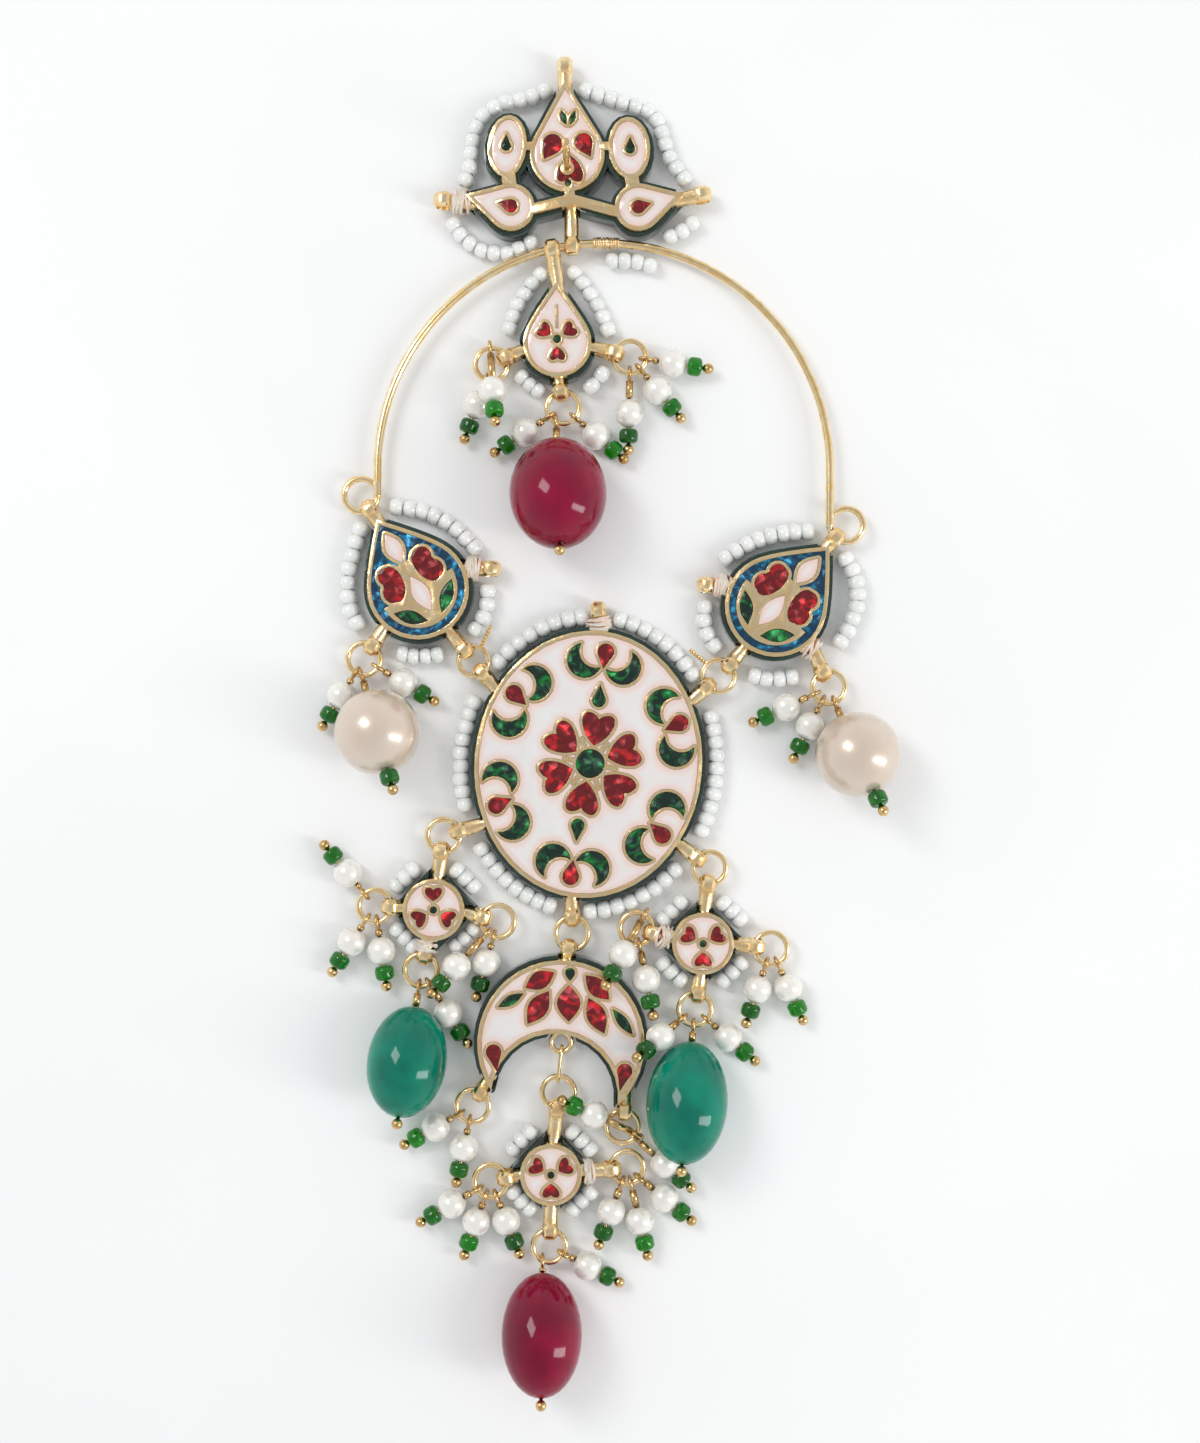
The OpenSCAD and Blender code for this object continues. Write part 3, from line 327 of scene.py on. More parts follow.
def add_bump(nodes, link, shader, height, strength, distance):
    """Bumps the surface by a height, over a distance in millimetres."""
    bump = nodes.new("ShaderNodeBump")
    bump.inputs["Strength"].default_value = strength
    bump.inputs["Distance"].default_value = distance * MM
    link(height, bump.inputs["Height"])
    link(bump.outputs["Normal"], shader.inputs["Normal"])


def rgba(colour):
    """A colour that covers fully."""
    return (colour[0], colour[1], colour[2], 1.0)


def gold_material(name, light, dark, low, high, strength):
    """Cast or drawn gold: a painted highlight colour and a painted shade colour in cloudy patches,
    uneven polish and a softly rippled skin.
    """
    material, nodes, link, shader = material_base(name)
    # The light colour is a painted highlight and the dark one a painted shade, mixed in random cloud
    # patches; the same mask makes the light patches smoother.
    clouds = use_group(nodes, cloud_group(), Scale=900.0, First=rgba(light), Second=rgba(dark))
    ripple = use_group(nodes, ripple_group(), Coarse_Scale=1100.0, Fine_Scale=4500.0)
    polish = nodes.new("ShaderNodeMapRange")
    polish.inputs["To Min"].default_value = low
    polish.inputs["To Max"].default_value = high
    shader.inputs["Metallic"].default_value = 1.0
    link(clouds.outputs["Color"], shader.inputs["Base Color"])
    link(clouds.outputs["Mask"], polish.inputs["Value"])
    link(polish.outputs["Result"], shader.inputs["Roughness"])
    add_bump(nodes, link, shader, ripple.outputs["Height"], strength, 0.12)
    return material


def white_enamel_material(name, white, blush):
    """Opaque enamel, whiter in the middle of a cell and pinker towards its gold lines."""
    material, nodes, link, shader = material_base(name)
    rounded = nodes.new("ShaderNodeBevel")
    rounded.samples = 6
    rounded.inputs["Radius"].default_value = 1.3 * MM
    flat = nodes.new("ShaderNodeNewGeometry")
    agree = nodes.new("ShaderNodeVectorMath")
    agree.operation = "DOT_PRODUCT"
    spread = nodes.new("ShaderNodeMapRange")
    spread.interpolation_type = "SMOOTHSTEP"
    spread.inputs["From Min"].default_value = 0.80
    spread.inputs["From Max"].default_value = 0.99
    pale = tuple(0.85 * a + 0.15 * b for a, b in zip(white, blush))
    clouds = use_group(nodes, cloud_group(), Scale=160.0, First=rgba(white), Second=rgba(pale))
    mix = nodes.new("ShaderNodeMix")
    mix.data_type = "RGBA"
    mix.inputs["A"].default_value = rgba(blush)
    ripple = use_group(nodes, ripple_group(), Coarse_Scale=500.0, Fine_Scale=1600.0)
    link(rounded.outputs["Normal"], agree.inputs[0])
    link(flat.outputs["Normal"], agree.inputs[1])
    link(agree.outputs["Value"], spread.inputs["Value"])
    link(spread.outputs["Result"], mix.inputs["Factor"])
    link(clouds.outputs["Color"], mix.inputs["B"])
    link(mix.outputs["Result"], shader.inputs["Base Color"])
    shader.inputs["Roughness"].default_value = 0.16
    shader.inputs["Coat Weight"].default_value = 0.6
    shader.inputs["Coat Roughness"].default_value = 0.05
    add_bump(nodes, link, shader, ripple.outputs["Height"], 0.15, 0.12)
    return material


def clear_enamel_material(name, deep, glint_colour, metal):
    """See-through enamel over foil: deep colour, a painted glint colour in a noise mask and a smooth
    clear top.
    """
    material, nodes, link, shader = material_base(name)
    foil = use_group(nodes, foil_group(), Scale=750.0)
    mix = nodes.new("ShaderNodeMix")
    mix.data_type = "RGBA"
    mix.inputs["A"].default_value = rgba(deep)
    # The brighter colour is a painted glint, laid where the foil's noise mask is high.
    mix.inputs["B"].default_value = rgba(glint_colour)
    link(foil.outputs["Painted Glint"], mix.inputs["Factor"])
    link(mix.outputs["Result"], shader.inputs["Base Color"])
    shader.inputs["Metallic"].default_value = metal
    shader.inputs["Roughness"].default_value = 0.3
    shader.inputs["Coat Weight"].default_value = 0.6
    shader.inputs["Coat Roughness"].default_value = 0.04
    add_bump(nodes, link, shader, foil.outputs["Height"], 0.8, 0.5)
    return material


def wall_material(name, colour):
    """Dark glossy enamel with lighter clouds in it."""
    material, nodes, link, shader = material_base(name)
    lighter = tuple(min(1.0, c * 2.6) for c in colour)
    clouds = use_group(nodes, cloud_group(), Scale=500.0, First=rgba(colour), Second=rgba(lighter))
    ripple = use_group(nodes, ripple_group(), Coarse_Scale=600.0, Fine_Scale=2000.0)
    link(clouds.outputs["Color"], shader.inputs["Base Color"])
    shader.inputs["Roughness"].default_value = 0.22
    shader.inputs["Coat Weight"].default_value = 0.8
    shader.inputs["Coat Roughness"].default_value = 0.06
    add_bump(nodes, link, shader, ripple.outputs["Height"], 0.5, 0.2)
    return material


def stone_material(name, colour, cloud, glow, depth):
    """Polished stone with a little light in it."""
    material, nodes, link, shader = material_base(name)
    clouds = use_group(nodes, cloud_group(), Scale=190.0, First=rgba(colour), Second=rgba(cloud))
    link(clouds.outputs["Color"], shader.inputs["Base Color"])
    shader.inputs["Roughness"].default_value = 0.1
    shader.inputs["IOR"].default_value = 1.34
    shader.inputs["Subsurface Weight"].default_value = glow
    shader.inputs["Subsurface Radius"].default_value = depth
    shader.inputs["Subsurface Scale"].default_value = 0.002
    shader.inputs["Coat Weight"].default_value = 0.15
    shader.inputs["Coat Roughness"].default_value = 0.02
    ripple = use_group(nodes, ripple_group(), Coarse_Scale=150.0, Fine_Scale=900.0)
    add_bump(nodes, link, shader, ripple.outputs["Height"], 0.15, 0.2)
    return material


def pearl_material(name, colour, shade, rough, silver):
    """Pearl: a satin body under a thin clear skin, each bead a little different."""
    material, nodes, link, shader = material_base(name)
    each = nodes.new("ShaderNodeNewGeometry")
    clouds = use_group(nodes, cloud_group(), Scale=330.0, First=rgba(colour), Second=rgba(shade))
    mix = nodes.new("ShaderNodeMix")
    mix.data_type = "RGBA"
    mix.inputs["A"].default_value = rgba(colour)
    link(each.outputs["Random Per Island"], mix.inputs["Factor"])
    link(clouds.outputs["Color"], mix.inputs["B"])
    link(mix.outputs["Result"], shader.inputs["Base Color"])
    shader.inputs["Roughness"].default_value = rough
    shader.inputs["Metallic"].default_value = silver
    shader.inputs["Subsurface Weight"].default_value = 0.15
    shader.inputs["Subsurface Radius"].default_value = (1.0, 0.85, 0.7)
    shader.inputs["Subsurface Scale"].default_value = 0.0008
    shader.inputs["Coat Weight"].default_value = 1.0
    shader.inputs["Coat Roughness"].default_value = 0.05
    ripple = use_group(nodes, ripple_group(), Coarse_Scale=500.0, Fine_Scale=2600.0)
    add_bump(nodes, link, shader, ripple.outputs["Height"], 0.07, 0.12)
    return material


def glass_bead_material(name, colour, dark):
    """Bright green glass that lets some light through."""
    material, nodes, link, shader = material_base(name)
    each = nodes.new("ShaderNodeNewGeometry")
    mix = nodes.new("ShaderNodeMix")
    mix.data_type = "RGBA"
    mix.inputs["A"].default_value = rgba(colour)
    mix.inputs["B"].default_value = rgba(dark)
    link(each.outputs["Random Per Island"], mix.inputs["Factor"])
    link(mix.outputs["Result"], shader.inputs["Base Color"])
    shader.inputs["Roughness"].default_value = 0.08
    shader.inputs["IOR"].default_value = 1.4
    shader.inputs["Transmission Weight"].default_value = 0.6
    shader.inputs["Coat Weight"].default_value = 0.35
    shader.inputs["Coat Roughness"].default_value = 0.03
    ripple = use_group(nodes, ripple_group(), Coarse_Scale=900.0, Fine_Scale=2600.0)
    add_bump(nodes, link, shader, ripple.outputs["Height"], 0.4, 0.2)
    return material


def thread_material(name, colour, shade):
    """Pale sewing thread with its twist."""
    material, nodes, link, shader = material_base(name)
    clouds = use_group(nodes, cloud_group(), Scale=1500.0, First=rgba(colour), Second=rgba(shade))
    ripple = use_group(nodes, ripple_group(), Coarse_Scale=2500.0, Fine_Scale=7000.0)
    link(clouds.outputs["Color"], shader.inputs["Base Color"])
    shader.inputs["Roughness"].default_value = 0.45
    shader.inputs["Subsurface Weight"].default_value = 0.3
    shader.inputs["Subsurface Scale"].default_value = 0.0006
    shader.inputs["Sheen Weight"].default_value = 0.3
    add_bump(nodes, link, shader, ripple.outputs["Height"], 0.6, 0.12)
    return material


def cloth_material(name, colour, shade):
    """Matt floor with a barely uneven colour."""
    material, nodes, link, shader = material_base(name)
    clouds = use_group(nodes, cloud_group(), Scale=14.0, First=rgba(colour), Second=rgba(shade))
    link(clouds.outputs["Color"], shader.inputs["Base Color"])
    shader.inputs["Roughness"].default_value = 0.9
    return material


# CAD nodes


def merge(name):
    """Welds the triangles of a CAD node at their corners."""
    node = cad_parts[name]
    weld = node.modifiers.new("weld", "WELD")
    weld.merge_threshold = SAME_CORNER
    return node


def soften(name, width, angle):
    """Makes flat faces of a CAD node's triangles and rounds its edges, as casting and wear do."""
    node = merge(name)
    flat = node.modifiers.new("flat", "DECIMATE")
    flat.decimate_type = "DISSOLVE"
    flat.angle_limit = math.radians(1.5)
    bevel = node.modifiers.new("bevel", "BEVEL")
    bevel.width = width * MM
    bevel.segments = 2
    bevel.limit_method = "ANGLE"
    bevel.angle_limit = math.radians(angle)
    bevel.use_clamp_overlap = True
    return node


def smooth_node(node, angle):
    """Shades edges flatter than the angle as smooth."""
    only(node)
    bpy.ops.object.shade_smooth_by_angle(angle=math.radians(angle))


def paint(name, material):
    """Gives a CAD node its one material."""
    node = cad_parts[name]
    node.data.materials.clear()
    node.data.materials.append(material)


def finish_smooth(name, material):
    """Dresses a round CAD node, which needs no softer edges."""
    paint(name, material)
    smooth_node(merge(name), 60)


def cad_names(*endings):
    """Names of the CAD nodes that end in one of the given words."""
    return [n for n in sorted(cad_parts) if n.endswith(endings)]


# Settings that a user can change


class EarringSizes(PropertyGroup):
    """Sizes of the strung beads, the gold edges and the thread."""

    seed_diameter: FloatProperty(
        name="Seed bead diameter",
        description="Across a white seed bead",
        default=2.1 * MM,
        unit="LENGTH",
    )
    seed_pitch: FloatProperty(
        name="Seed bead pitch",
        description="Length of a seed bead along its thread",
        default=1.46 * MM,
        unit="LENGTH",
    )
    edge_round: FloatProperty(
        name="Edge rounding",
        description="Rounding of the gold edges, in millimetres",
        default=0.09,
    )
    thread_turns: IntProperty(
        name="Thread turns",
        description="Turns of thread round a lug",
        default=8,
    )


class EarringColours(PropertyGroup):
    """Main colours of the gold, the enamels, the stones and the beads, among them the gold's painted
    highlight and painted shade and the enamels' painted glints.
    """

    # Painted highlight: lighter gold standing for light falling on it, in the cloud patches that are
    # also polished smoother
    gold_painted_highlight: FloatVectorProperty(
        name="Light gold",
        description="Gold where it is polished",
        subtype="COLOR",
        default=(1.0, 0.82, 0.50),
    )
    # Painted shade: darker gold standing for shade, mixed in at random cloud patches
    gold_painted_shade: FloatVectorProperty(
        name="Dark gold",
        description="Gold in the hollows",
        subtype="COLOR",
        default=(0.88, 0.60, 0.29),
    )
    gold_wire: FloatVectorProperty(
        name="Wire gold",
        description="Shaded places of drawn wire",
        subtype="COLOR",
        default=(0.92, 0.64, 0.29),
    )
    white: FloatVectorProperty(
        name="White enamel",
        description="Middle of a white cell",
        subtype="COLOR",
        default=(0.74, 0.73, 0.72),
    )
    blush: FloatVectorProperty(
        name="Pink enamel",
        description="Rim of a white cell",
        subtype="COLOR",
        default=(0.79, 0.54, 0.46),
    )
    # Painted glint colour of the red enamel, mixed in at random noise patches
    red: FloatVectorProperty(
        name="Red enamel",
        description="Red enamel where it flashes",
        subtype="COLOR",
        default=(0.70, 0.010, 0.016),
    )
    # Painted glint colour of the green enamel, mixed in at random noise patches
    green: FloatVectorProperty(
        name="Green enamel",
        description="Green enamel where it flashes",
        subtype="COLOR",
        default=(0.002, 0.24, 0.04),
    )
    # Painted glint colour of the teal border, mixed in at random noise patches
    teal: FloatVectorProperty(
        name="Teal enamel",
        description="Blue border where it flashes",
        subtype="COLOR",
        default=(0.02, 0.30, 0.52),
    )
    wall: FloatVectorProperty(
        name="Wall enamel",
        description="Dark side walls",
        subtype="COLOR",
        default=(0.002, 0.014, 0.010),
    )
    ruby: FloatVectorProperty(
        name="Ruby",
        description="Crimson stone drops",
        subtype="COLOR",
        default=(0.27, 0.002, 0.034),
    )
    emerald: FloatVectorProperty(
        name="Emerald",
        description="Green stone drops",
        subtype="COLOR",
        default=(0.001, 0.25, 0.16),
    )
    pearl: FloatVectorProperty(
        name="Pearl",
        description="Small pearls",
        subtype="COLOR",
        default=(0.88, 0.86, 0.80),
    )
    large_pearl: FloatVectorProperty(
        name="Large pearl",
        description="The two large pearls",
        subtype="COLOR",
        default=(0.70, 0.59, 0.49),
    )
    seed: FloatVectorProperty(
        name="Seed bead",
        description="White seed beads",
        subtype="COLOR",
        default=(0.85, 0.86, 0.835),
    )
    leaf: FloatVectorProperty(
        name="Green glass",
        description="Small green beads",
        subtype="COLOR",
        default=(0.010, 0.36, 0.006),
    )


# Operators


class EARRING_OT_gold(Operator):
    """Rounds and gilds the settings, and gilds the hoop, rings and head pins"""

    bl_idname = "earring.gold"
    bl_label = "Gold"

    def execute(self, context):
        sizes, tints = context.scene.earring_sizes, context.scene.earring_colours
        # Each gold's two colours are a painted highlight and a painted shade.
        cast = gold_material("cast_gold", tints.gold_painted_highlight, tints.gold_painted_shade, 0.16, 0.34, 0.4)
        wire = gold_material("drawn_gold", tints.gold_painted_highlight, tints.gold_wire, 0.14, 0.24, 0.06)
        pins = gold_material("pin_gold", (0.80, 0.56, 0.27), (0.52, 0.33, 0.13), 0.18, 0.34, 0.3)
        for name in cad_names("_setting"):
            paint(name, cast)
            smooth_node(soften(name, sizes.edge_round, 32), 40)
        for name in ["hoop"] + cad_names("_rings"):
            finish_smooth(name, wire)
        for name in cad_names("_pins"):
            finish_smooth(name, pins)
        return {"FINISHED"}


class EARRING_OT_enamel(Operator):
    """Fills the cells with white, red, green and blue enamel and coats the side walls"""

    bl_idname = "earring.enamel"
    bl_label = "Enamel"

    def execute(self, context):
        tints = context.scene.earring_colours
        white = white_enamel_material("white_enamel", tints.white, tints.blush)
        # The second colour of each clear enamel is a painted glint.
        red = clear_enamel_material("red_enamel", (0.16, 0.003, 0.006), tints.red, 0.55)
        green = clear_enamel_material("green_enamel", (0.001, 0.022, 0.012), tints.green, 0.6)
        blue = clear_enamel_material("blue_enamel", (0.002, 0.045, 0.10), tints.teal, 0.6)
        wall = wall_material("wall_enamel", tints.wall)
        for name, material in (
            ("enamel_white", white),
            ("enamel_red", red),
            ("enamel_green", green),
            ("enamel_blue", blue),
            ("enamel_walls", wall),
        ):
            paint(name, material)
            smooth_node(soften(name, 0.12, 50), 60)
        return {"FINISHED"}


class EARRING_OT_stones(Operator):
    """Polishes the ruby and emerald drops and the two large pearls"""

    bl_idname = "earring.stones"
    bl_label = "Large Drops"

    def execute(self, context):
        tints = context.scene.earring_colours
        deep_red, red_depth = (0.17, 0.002, 0.022), (1.0, 0.12, 0.3)
        ruby = stone_material("ruby_stone", tints.ruby, deep_red, 0.4, red_depth)
        deep_green, green_depth = (0.001, 0.15, 0.10), (0.15, 1.0, 0.7)
        emerald = stone_material("emerald_stone", tints.emerald, deep_green, 0.5, green_depth)
        pearl = pearl_material("large_pearl_skin", tints.large_pearl, (0.66, 0.53, 0.42), 0.28, 0.3)
        for name, material in (
            ("ruby_bead_upper", ruby),
            ("ruby_bead_lower", ruby),
            ("green_bead_left", emerald),
            ("green_bead_right", emerald),
            ("large_pearl_left", pearl),
            ("large_pearl_right", pearl),
        ):
            finish_smooth(name, material)
        return {"FINISHED"}


class EARRING_OT_small_beads(Operator):
    """Finishes the small pearls and the green glass beads of the danglers"""

    bl_idname = "earring.small_beads"
    bl_label = "Small Beads"

    def execute(self, context):
        tints = context.scene.earring_colours
        pearl = pearl_material("small_pearl_skin", tints.pearl, (0.83, 0.80, 0.73), 0.26, 0.25)
        glass = glass_bead_material("green_glass", tints.leaf, (0.002, 0.13, 0.004))
        for name in cad_names("_pearls"):
            finish_smooth(name, pearl)
        for name in cad_names("_greens"):
            finish_smooth(name, glass)
        return {"FINISHED"}


# How far the beads go on past each end of a route
END_ROOM = 0.45 * MM
# Steps between two points of a route
CURVE_STEPS = 24
# Size of the beads round the stud and the upper drop, where the others are 1
SMALLER = 0.9


def smooth_route(points, step):
    """Points about `step` metres apart on a smooth curve through the route, and their true distance."""
    knots = [at(x, y, SEED_Z) for x, y in points]
    knots = [knots[0] * 2 - knots[1]] + knots + [knots[-1] * 2 - knots[-2]]
    fine = []
    for i in range(1, len(knots) - 2):
        a, b, c, d = knots[i - 1 : i + 3]
        for k in range(CURVE_STEPS):
            t = k / CURVE_STEPS
            squared, cubed = 2 * a - 5 * b + 4 * c - d, 3 * b - 3 * c + d - a
            fine.append(0.5 * (2 * b + (c - a) * t + squared * t * t + cubed * t**3))
    fine.append(knots[-2])
    fine.insert(0, fine[0] + END_ROOM * (fine[0] - fine[1]).normalized())
    fine.append(fine[-1] + END_ROOM * (fine[-1] - fine[-2]).normalized())
    lengths = [0.0]
    for p, q in zip(fine, fine[1:]):
        lengths.append(lengths[-1] + (q - p).length)
    count = max(2, round(lengths[-1] / step))
    found = []
    k = 0
    for i in range(count):
        goal = lengths[-1] * (i + 0.5) / count
        while lengths[k + 1] < goal:
            k += 1
        t = (goal - lengths[k]) / (lengths[k + 1] - lengths[k])
        found.append((fine[k].lerp(fine[k + 1], t), (fine[k + 1] - fine[k]).normalized()))
    return found, lengths[-1] / count


class EARRING_OT_seed_beads(Operator):
    """Strings the white seed beads round each setting"""

    bl_idname = "earring.seed_beads"
    bl_label = "Seed Beads"

    def execute(self, context):
        sizes, tints = context.scene.earring_sizes, context.scene.earring_colours
        skin = pearl_material("seed_bead_skin", tints.seed, (0.75, 0.775, 0.745), 0.12, 0.0)
        pattern = self.bead(sizes)
        rows = {
            "stud_seeds": STUD_ROUTES,
            "upper_drop_seeds": DROP_ROUTES,
            "left_pendant_seeds": LEFT_ROUTES,
            "right_pendant_seeds": RIGHT_ROUTES,
            "medallion_seeds": medal_routes(),
            "lower_left_seeds": round_routes(LOW_LEFT_AT),
            "lower_right_seeds": round_routes(LOW_RIGHT_AT),
            "bottom_seeds": round_routes(BOTTOM_AT),
        }
        chance = random.Random(5)
        for node, routes in rows.items():
            beads = []
            small = SMALLER if node in ("stud_seeds", "upper_drop_seeds") else 1.0
            for route in routes:
                places, pitch = smooth_route(route, sizes.seed_pitch)
                stretch = pitch / sizes.seed_pitch
                for place, along in places:
                    beads.append(self.strung(pattern, place, along, stretch, small, chance))
            finish_piece(join(beads), node + "_beads", skin, [node])
        bpy.data.objects.remove(pattern)
        return {"FINISHED"}

    def bead(self, sizes):
        """One bead, its hole along Z: a plump ring as long as the pitch."""
        middle_r, round_r = 0.255 * sizes.seed_diameter, 0.245 * sizes.seed_diameter
        deselect()
        bpy.ops.mesh.primitive_torus_add(
            major_segments=12, minor_segments=8, major_radius=middle_r, minor_radius=round_r
        )
        bead = bpy.context.object
        bpy.ops.object.mode_set(mode="EDIT")
        longer = sizes.seed_pitch / (2 * round_r)
        bpy.ops.transform.resize(value=(1, 1, longer), center_override=(0, 0, 0))
        bpy.ops.object.mode_set(mode="OBJECT")
        return bead

    def strung(self, pattern, place, along, stretch, small, chance):
        """A copy of the bead on its thread, a little off in size, tilt, place and turn."""
        size = small * chance.uniform(0.94, 1.03)
        tilt = Vector((chance.gauss(0, 0.06), chance.gauss(0, 0.06), chance.gauss(0, 0.04)))
        shift = Vector((chance.gauss(0, 0.035), chance.gauss(0, 0.035), 0)) * MM
        turn = (along + tilt).to_track_quat("Z", "Y").to_matrix().to_4x4()
        spin = Matrix.Rotation(chance.uniform(0, math.tau), 4, "Z")
        scale = Matrix.Diagonal((size, size, stretch * chance.uniform(0.98, 1.06), 1))
        return copy_of(pattern, Matrix.Translation(place + shift) @ turn @ spin @ scale)


# Links: the two lug holes that each joins, the angle at which its tail leaves it and where the
# tail ends, in millimetres of the drawing
LINKS = {
    "left_link": ((-16.2, 8.6), (-14.2, 6.0), 60, (-13.2, 11.2)),
    "right_link": ((13.2, 6.9), (10.6, 4.4), 135, (8.7, 8.5)),
}
# Half the thickness of the wire
LINK_HALF = 0.28 * MM
# The tail: how far it rises, half the thickness of its two strands and the turns they make
TAIL_RISE = 0.7
TAIL_HALF = 0.13 * MM
TAIL_TURNS = 3.5


class EARRING_OT_links(Operator):
    """Bends the two wire links and twists their cut tails"""

    bl_idname = "earring.links"
    bl_label = "Twisted Links"

    def execute(self, context):
        tints = context.scene.earring_colours
        # Its two colours are a painted highlight and a painted shade.
        wire = gold_material("link_gold", tints.gold_painted_highlight, tints.gold_painted_shade, 0.15, 0.3, 0.4)
        for name, (a, b, leave, end) in LINKS.items():
            middle = at((a[0] + b[0]) / 2, (a[1] + b[1]) / 2, WIRE_Z)
            radius = math.dist(a, b) / 2 * MM
            deselect()
            bpy.ops.mesh.primitive_torus_add(
                major_segments=48,
                minor_segments=14,
                major_radius=radius,
                minor_radius=LINK_HALF,
                location=middle,
            )
            ring = bpy.context.object
            side = math.radians(leave)
            start = middle + radius * Vector((math.cos(side), math.sin(side), 0))
            tail = self.tail(start, at(end[0], end[1], WIRE_Z + TAIL_RISE))
            finish_piece(join([ring, tail]), name + "_wire", wire, [name])
        return {"FINISHED"}

    def tail(self, start, end):
        """Two thin wires twisted round each other, with closed ends."""
        length = (end - start).length
        strands = []
        for side in (-1, 1):
            deselect()
            bpy.ops.mesh.primitive_circle_add(
                vertices=8, radius=TAIL_HALF, fill_type="NOTHING", location=(side * TAIL_HALF, 0, 0)
            )
            strand = bpy.context.object
            bpy.ops.object.transform_apply(location=True)
            screw = strand.modifiers.new("twist", "SCREW")
            screw.angle = math.tau * TAIL_TURNS
            screw.screw_offset = length
            screw.steps = 64
            screw.render_steps = 64
            screw.use_normal_calculate = True
            bpy.ops.object.modifier_apply(modifier="twist")
            bpy.ops.object.mode_set(mode="EDIT")
            bpy.ops.mesh.select_all(action="DESELECT")
            bpy.ops.mesh.select_non_manifold()
            bpy.ops.mesh.edge_face_add()
            bpy.ops.mesh.select_all(action="SELECT")
            bpy.ops.mesh.normals_make_consistent(inside=False)
            bpy.ops.object.mode_set(mode="OBJECT")
            strands.append(strand)
        tail = join(strands)
        turn = (end - start).to_track_quat("Z", "Y").to_matrix().to_4x4()
        tail.data.transform(Matrix.Translation(start) @ turn)
        return tail


# Lugs with thread wound round them: foot and end of the lug, in millimetres of the drawing
WOUND_LUGS = [
    ((-15.6, 58.0), (-17.4, 58.15)),
    ((13.0, 15.6), (11.6, 15.68)),
    ((-15.9, 17.5), (-14.6, 17.5)),
    ((-1.3, 10.6), (-1.38, 12.0)),
    ((20.9, 9.6), (22.6, 8.4)),
    ((-20.1, -23.6), (-20.4, -24.8)),
    ((6.7, -23.45), (5.4, -23.1)),
    ((-3.3, -49.2), (-2.1, -49.1)),
]
# Radius of its turns at both ends of the lug, what they gain between, and half its thickness
THREAD_R = 1.08
THREAD_SWELL = 0.22
THREAD_HALF = 0.18
# The fine wire on the hoop: where it starts, in degrees, the step between its turns, their number,
# their radius and half its thickness
WINDING_FROM = 92.5
WINDING_STEP = 0.62
WINDING_TURNS = 11
WINDING_R = 0.56
WINDING_HALF = 0.11


class EARRING_OT_threads(Operator):
    """Winds the beading thread round its lugs and the fine wire round the hoop"""

    bl_idname = "earring.threads"
    bl_label = "Thread Turns"

    def execute(self, context):
        sizes, tints = context.scene.earring_sizes, context.scene.earring_colours
        thread = thread_material("beading_thread", (0.88, 0.74, 0.64), (0.76, 0.54, 0.43))
        # Its two colours are a painted highlight and a painted shade.
        wire = gold_material("fine_wire_gold", tints.gold_painted_highlight, tints.gold_painted_shade, 0.15, 0.3, 0.3)
        chance = random.Random(11)
        turns = []
        for foot, end in WOUND_LUGS:
            a, b = at(*foot, WIRE_Z), at(*end, WIRE_Z)
            for i in range(sizes.thread_turns):
                t = (i + 0.5) / sizes.thread_turns
                radius = THREAD_R + THREAD_SWELL * math.sin(math.pi * t)
                turns.append(self.loop(a.lerp(b, t), b - a, radius, THREAD_HALF, 0.3, chance))
        finish_piece(join(turns), "thread_turns", thread)
        turns = []
        for i in range(WINDING_TURNS):
            t = math.radians(WINDING_FROM - WINDING_STEP * i)
            place = at(HOOP_AT[0] + HOOP_R * math.cos(t), HOOP_AT[1] + HOOP_R * math.sin(t), WIRE_Z)
            along = Vector((-math.sin(t), math.cos(t), 0))
            turns.append(self.loop(place, along, WINDING_R, WINDING_HALF, 0.12, chance))
        finish_piece(join(turns), "hoop_winding", wire)
        return {"FINISHED"}

    def loop(self, place, along, radius, thick, wild, chance):
        """One turn round `along`: its radius and half its thickness in millimetres, leaning a little."""
        deselect()
        bpy.ops.mesh.primitive_torus_add(
            major_segments=28, minor_segments=8, major_radius=radius * MM, minor_radius=thick * MM
        )
        loop = bpy.context.object
        lean = Vector((chance.gauss(0, wild), chance.gauss(0, wild), chance.gauss(0, wild)))
        turn = (along.normalized() + lean * 0.6).to_track_quat("Z", "Y").to_matrix().to_4x4()
        loop.data.transform(Matrix.Translation(place) @ turn)
        return loop


# The photograph covers 158.7 mm from top to bottom, seen from 215 mm above the gold
CAMERA_HIGH = 215 * MM
CAMERA_COVER = 158.7 * MM
# Height of the gold, and the point of the drawing under the camera
GOLD_HIGH = 3 * MM
CAMERA_OVER = (-1.21, 0.6)
# Height of the camera's sensor, in Blender's millimetres
SENSOR = 24.0
FLOOR_R = 460 * MM
# Strength of the light from the horizon and from straight above
HORIZON = 1.05
ZENITH = 0.46


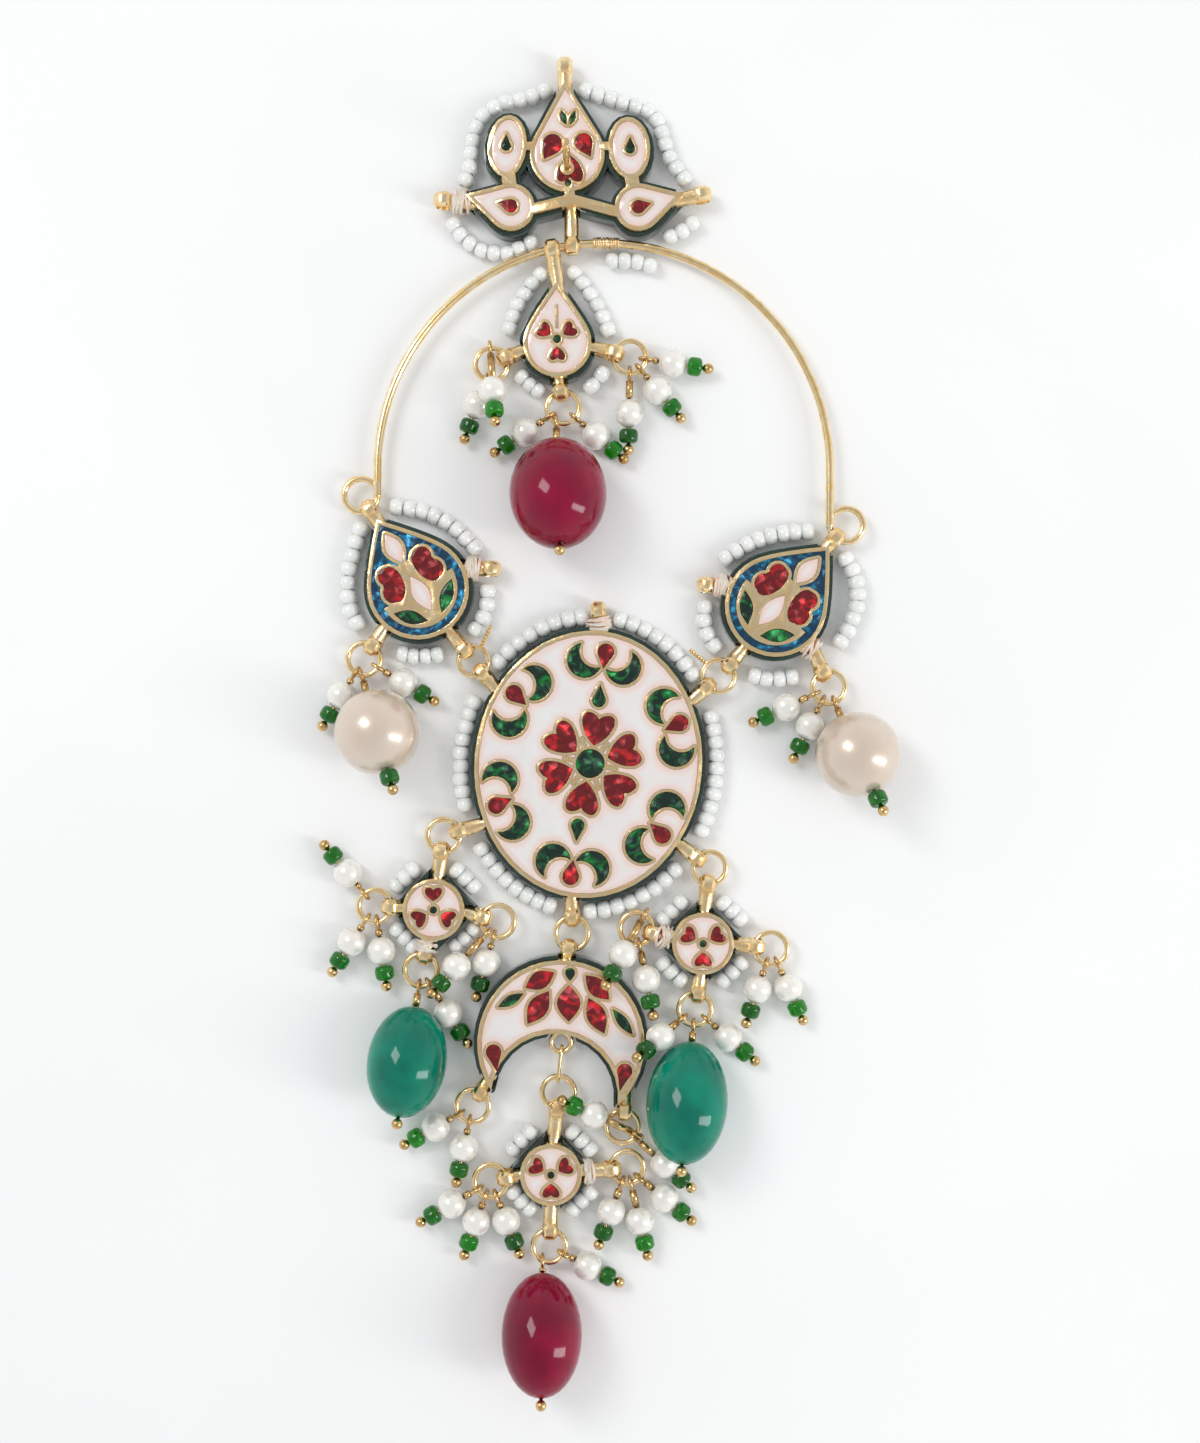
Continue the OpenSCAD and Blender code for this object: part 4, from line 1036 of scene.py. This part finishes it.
class EARRING_OT_stage(Operator):
    """Lays the earring on a pale floor under soft studio light and sets the camera"""

    bl_idname = "earring.stage"
    bl_label = "Stage"

    def execute(self, context):
        deselect()
        bpy.ops.mesh.primitive_circle_add(vertices=128, radius=FLOOR_R, fill_type="NGON")
        floor = context.object
        floor.name = "floor"
        cloth = cloth_material("pale_floor", (0.86, 0.865, 0.86), (0.89, 0.895, 0.89))
        floor.data.materials.append(cloth)
        self.lamp("window_left", (-0.28, 0.22, 0.42), (0.16, 0.22), 0.8)
        self.lamp("window_right", (0.42, -0.12, 0.30), (0.10, 0.34), 0.92)
        self.lamp("sky", (0.0, 0.10, 0.75), (0.7, 0.7), 0.7, seen=False)
        context.scene.world = self.world()
        context.scene.view_settings.view_transform = "Standard"
        context.scene.camera = self.camera()
        return {"FINISHED"}

    def world(self):
        """Light all round, weaker from above than from the horizon."""
        world = bpy.data.worlds.new("studio")
        world.use_nodes = True
        nodes, link = world.node_tree.nodes, world.node_tree.links.new
        place = nodes.new("ShaderNodeTexCoord")
        height = nodes.new("ShaderNodeSeparateXYZ")
        fade = nodes.new("ShaderNodeMapRange")
        fade.inputs["To Min"].default_value = HORIZON
        fade.inputs["To Max"].default_value = ZENITH
        link(place.outputs["Generated"], height.inputs["Vector"])
        link(height.outputs["Z"], fade.inputs["Value"])
        link(fade.outputs["Result"], nodes["Background"].inputs["Strength"])
        nodes["Background"].inputs["Color"].default_value = (0.965, 0.98, 1.0, 1)
        return world

    def lamp(self, name, place, size, power, seen=True):
        """A soft rectangular lamp aimed at the origin, which mirrors in the gold if it is seen."""
        light = bpy.data.lights.new(name, "AREA")
        light.shape = "RECTANGLE"
        light.size, light.size_y = size
        light.energy = power
        lamp = bpy.data.objects.new(name, light)
        lamp.location = place
        lamp.visible_glossy = seen
        lamp.rotation_euler = (-Vector(place)).to_track_quat("-Z", "Y").to_euler()
        bpy.context.scene.collection.objects.link(lamp)

    def camera(self):
        """Looks straight down, as the photograph does."""
        data = bpy.data.cameras.new("camera")
        data.sensor_fit = "VERTICAL"
        data.sensor_height = SENSOR
        data.lens = SENSOR * CAMERA_HIGH / CAMERA_COVER
        data.clip_start = 0.005
        camera = bpy.data.objects.new("camera", data)
        middle = at(*CAMERA_OVER)
        camera.location = (middle.x, middle.y, CAMERA_HIGH + GOLD_HIGH)
        bpy.context.scene.collection.objects.link(camera)
        return camera


STEPS = (
    EARRING_OT_gold,
    EARRING_OT_enamel,
    EARRING_OT_stones,
    EARRING_OT_small_beads,
    EARRING_OT_seed_beads,
    EARRING_OT_links,
    EARRING_OT_threads,
    EARRING_OT_stage,
)


class EARRING_PT_panel(Panel):
    """All settings, and a button for each step"""

    bl_label = "Earring"
    bl_idname = "EARRING_PT_panel"
    bl_space_type = "VIEW_3D"
    bl_region_type = "UI"
    bl_category = "Earring"

    def draw(self, context):
        for group in (context.scene.earring_sizes, context.scene.earring_colours):
            for key in group.bl_rna.properties.keys():
                if key not in ("rna_type", "name"):
                    self.layout.prop(group, key)
        for step in STEPS:
            self.layout.operator(step.bl_idname)


CLASSES = (EarringSizes, EarringColours) + STEPS + (EARRING_PT_panel,)


def register():
    for cls in CLASSES:
        bpy.utils.register_class(cls)
    bpy.types.Scene.earring_sizes = PointerProperty(type=EarringSizes)
    bpy.types.Scene.earring_colours = PointerProperty(type=EarringColours)


def unregister():
    del bpy.types.Scene.earring_colours
    del bpy.types.Scene.earring_sizes
    for cls in reversed(CLASSES):
        bpy.utils.unregister_class(cls)


def main():
    """Runs every step."""
    register()
    bpy.ops.earring.gold()
    bpy.ops.earring.enamel()
    bpy.ops.earring.stones()
    bpy.ops.earring.small_beads()
    bpy.ops.earring.seed_beads()
    bpy.ops.earring.links()
    bpy.ops.earring.threads()
    bpy.ops.earring.stage()


if __name__ == "__main__":
    main()
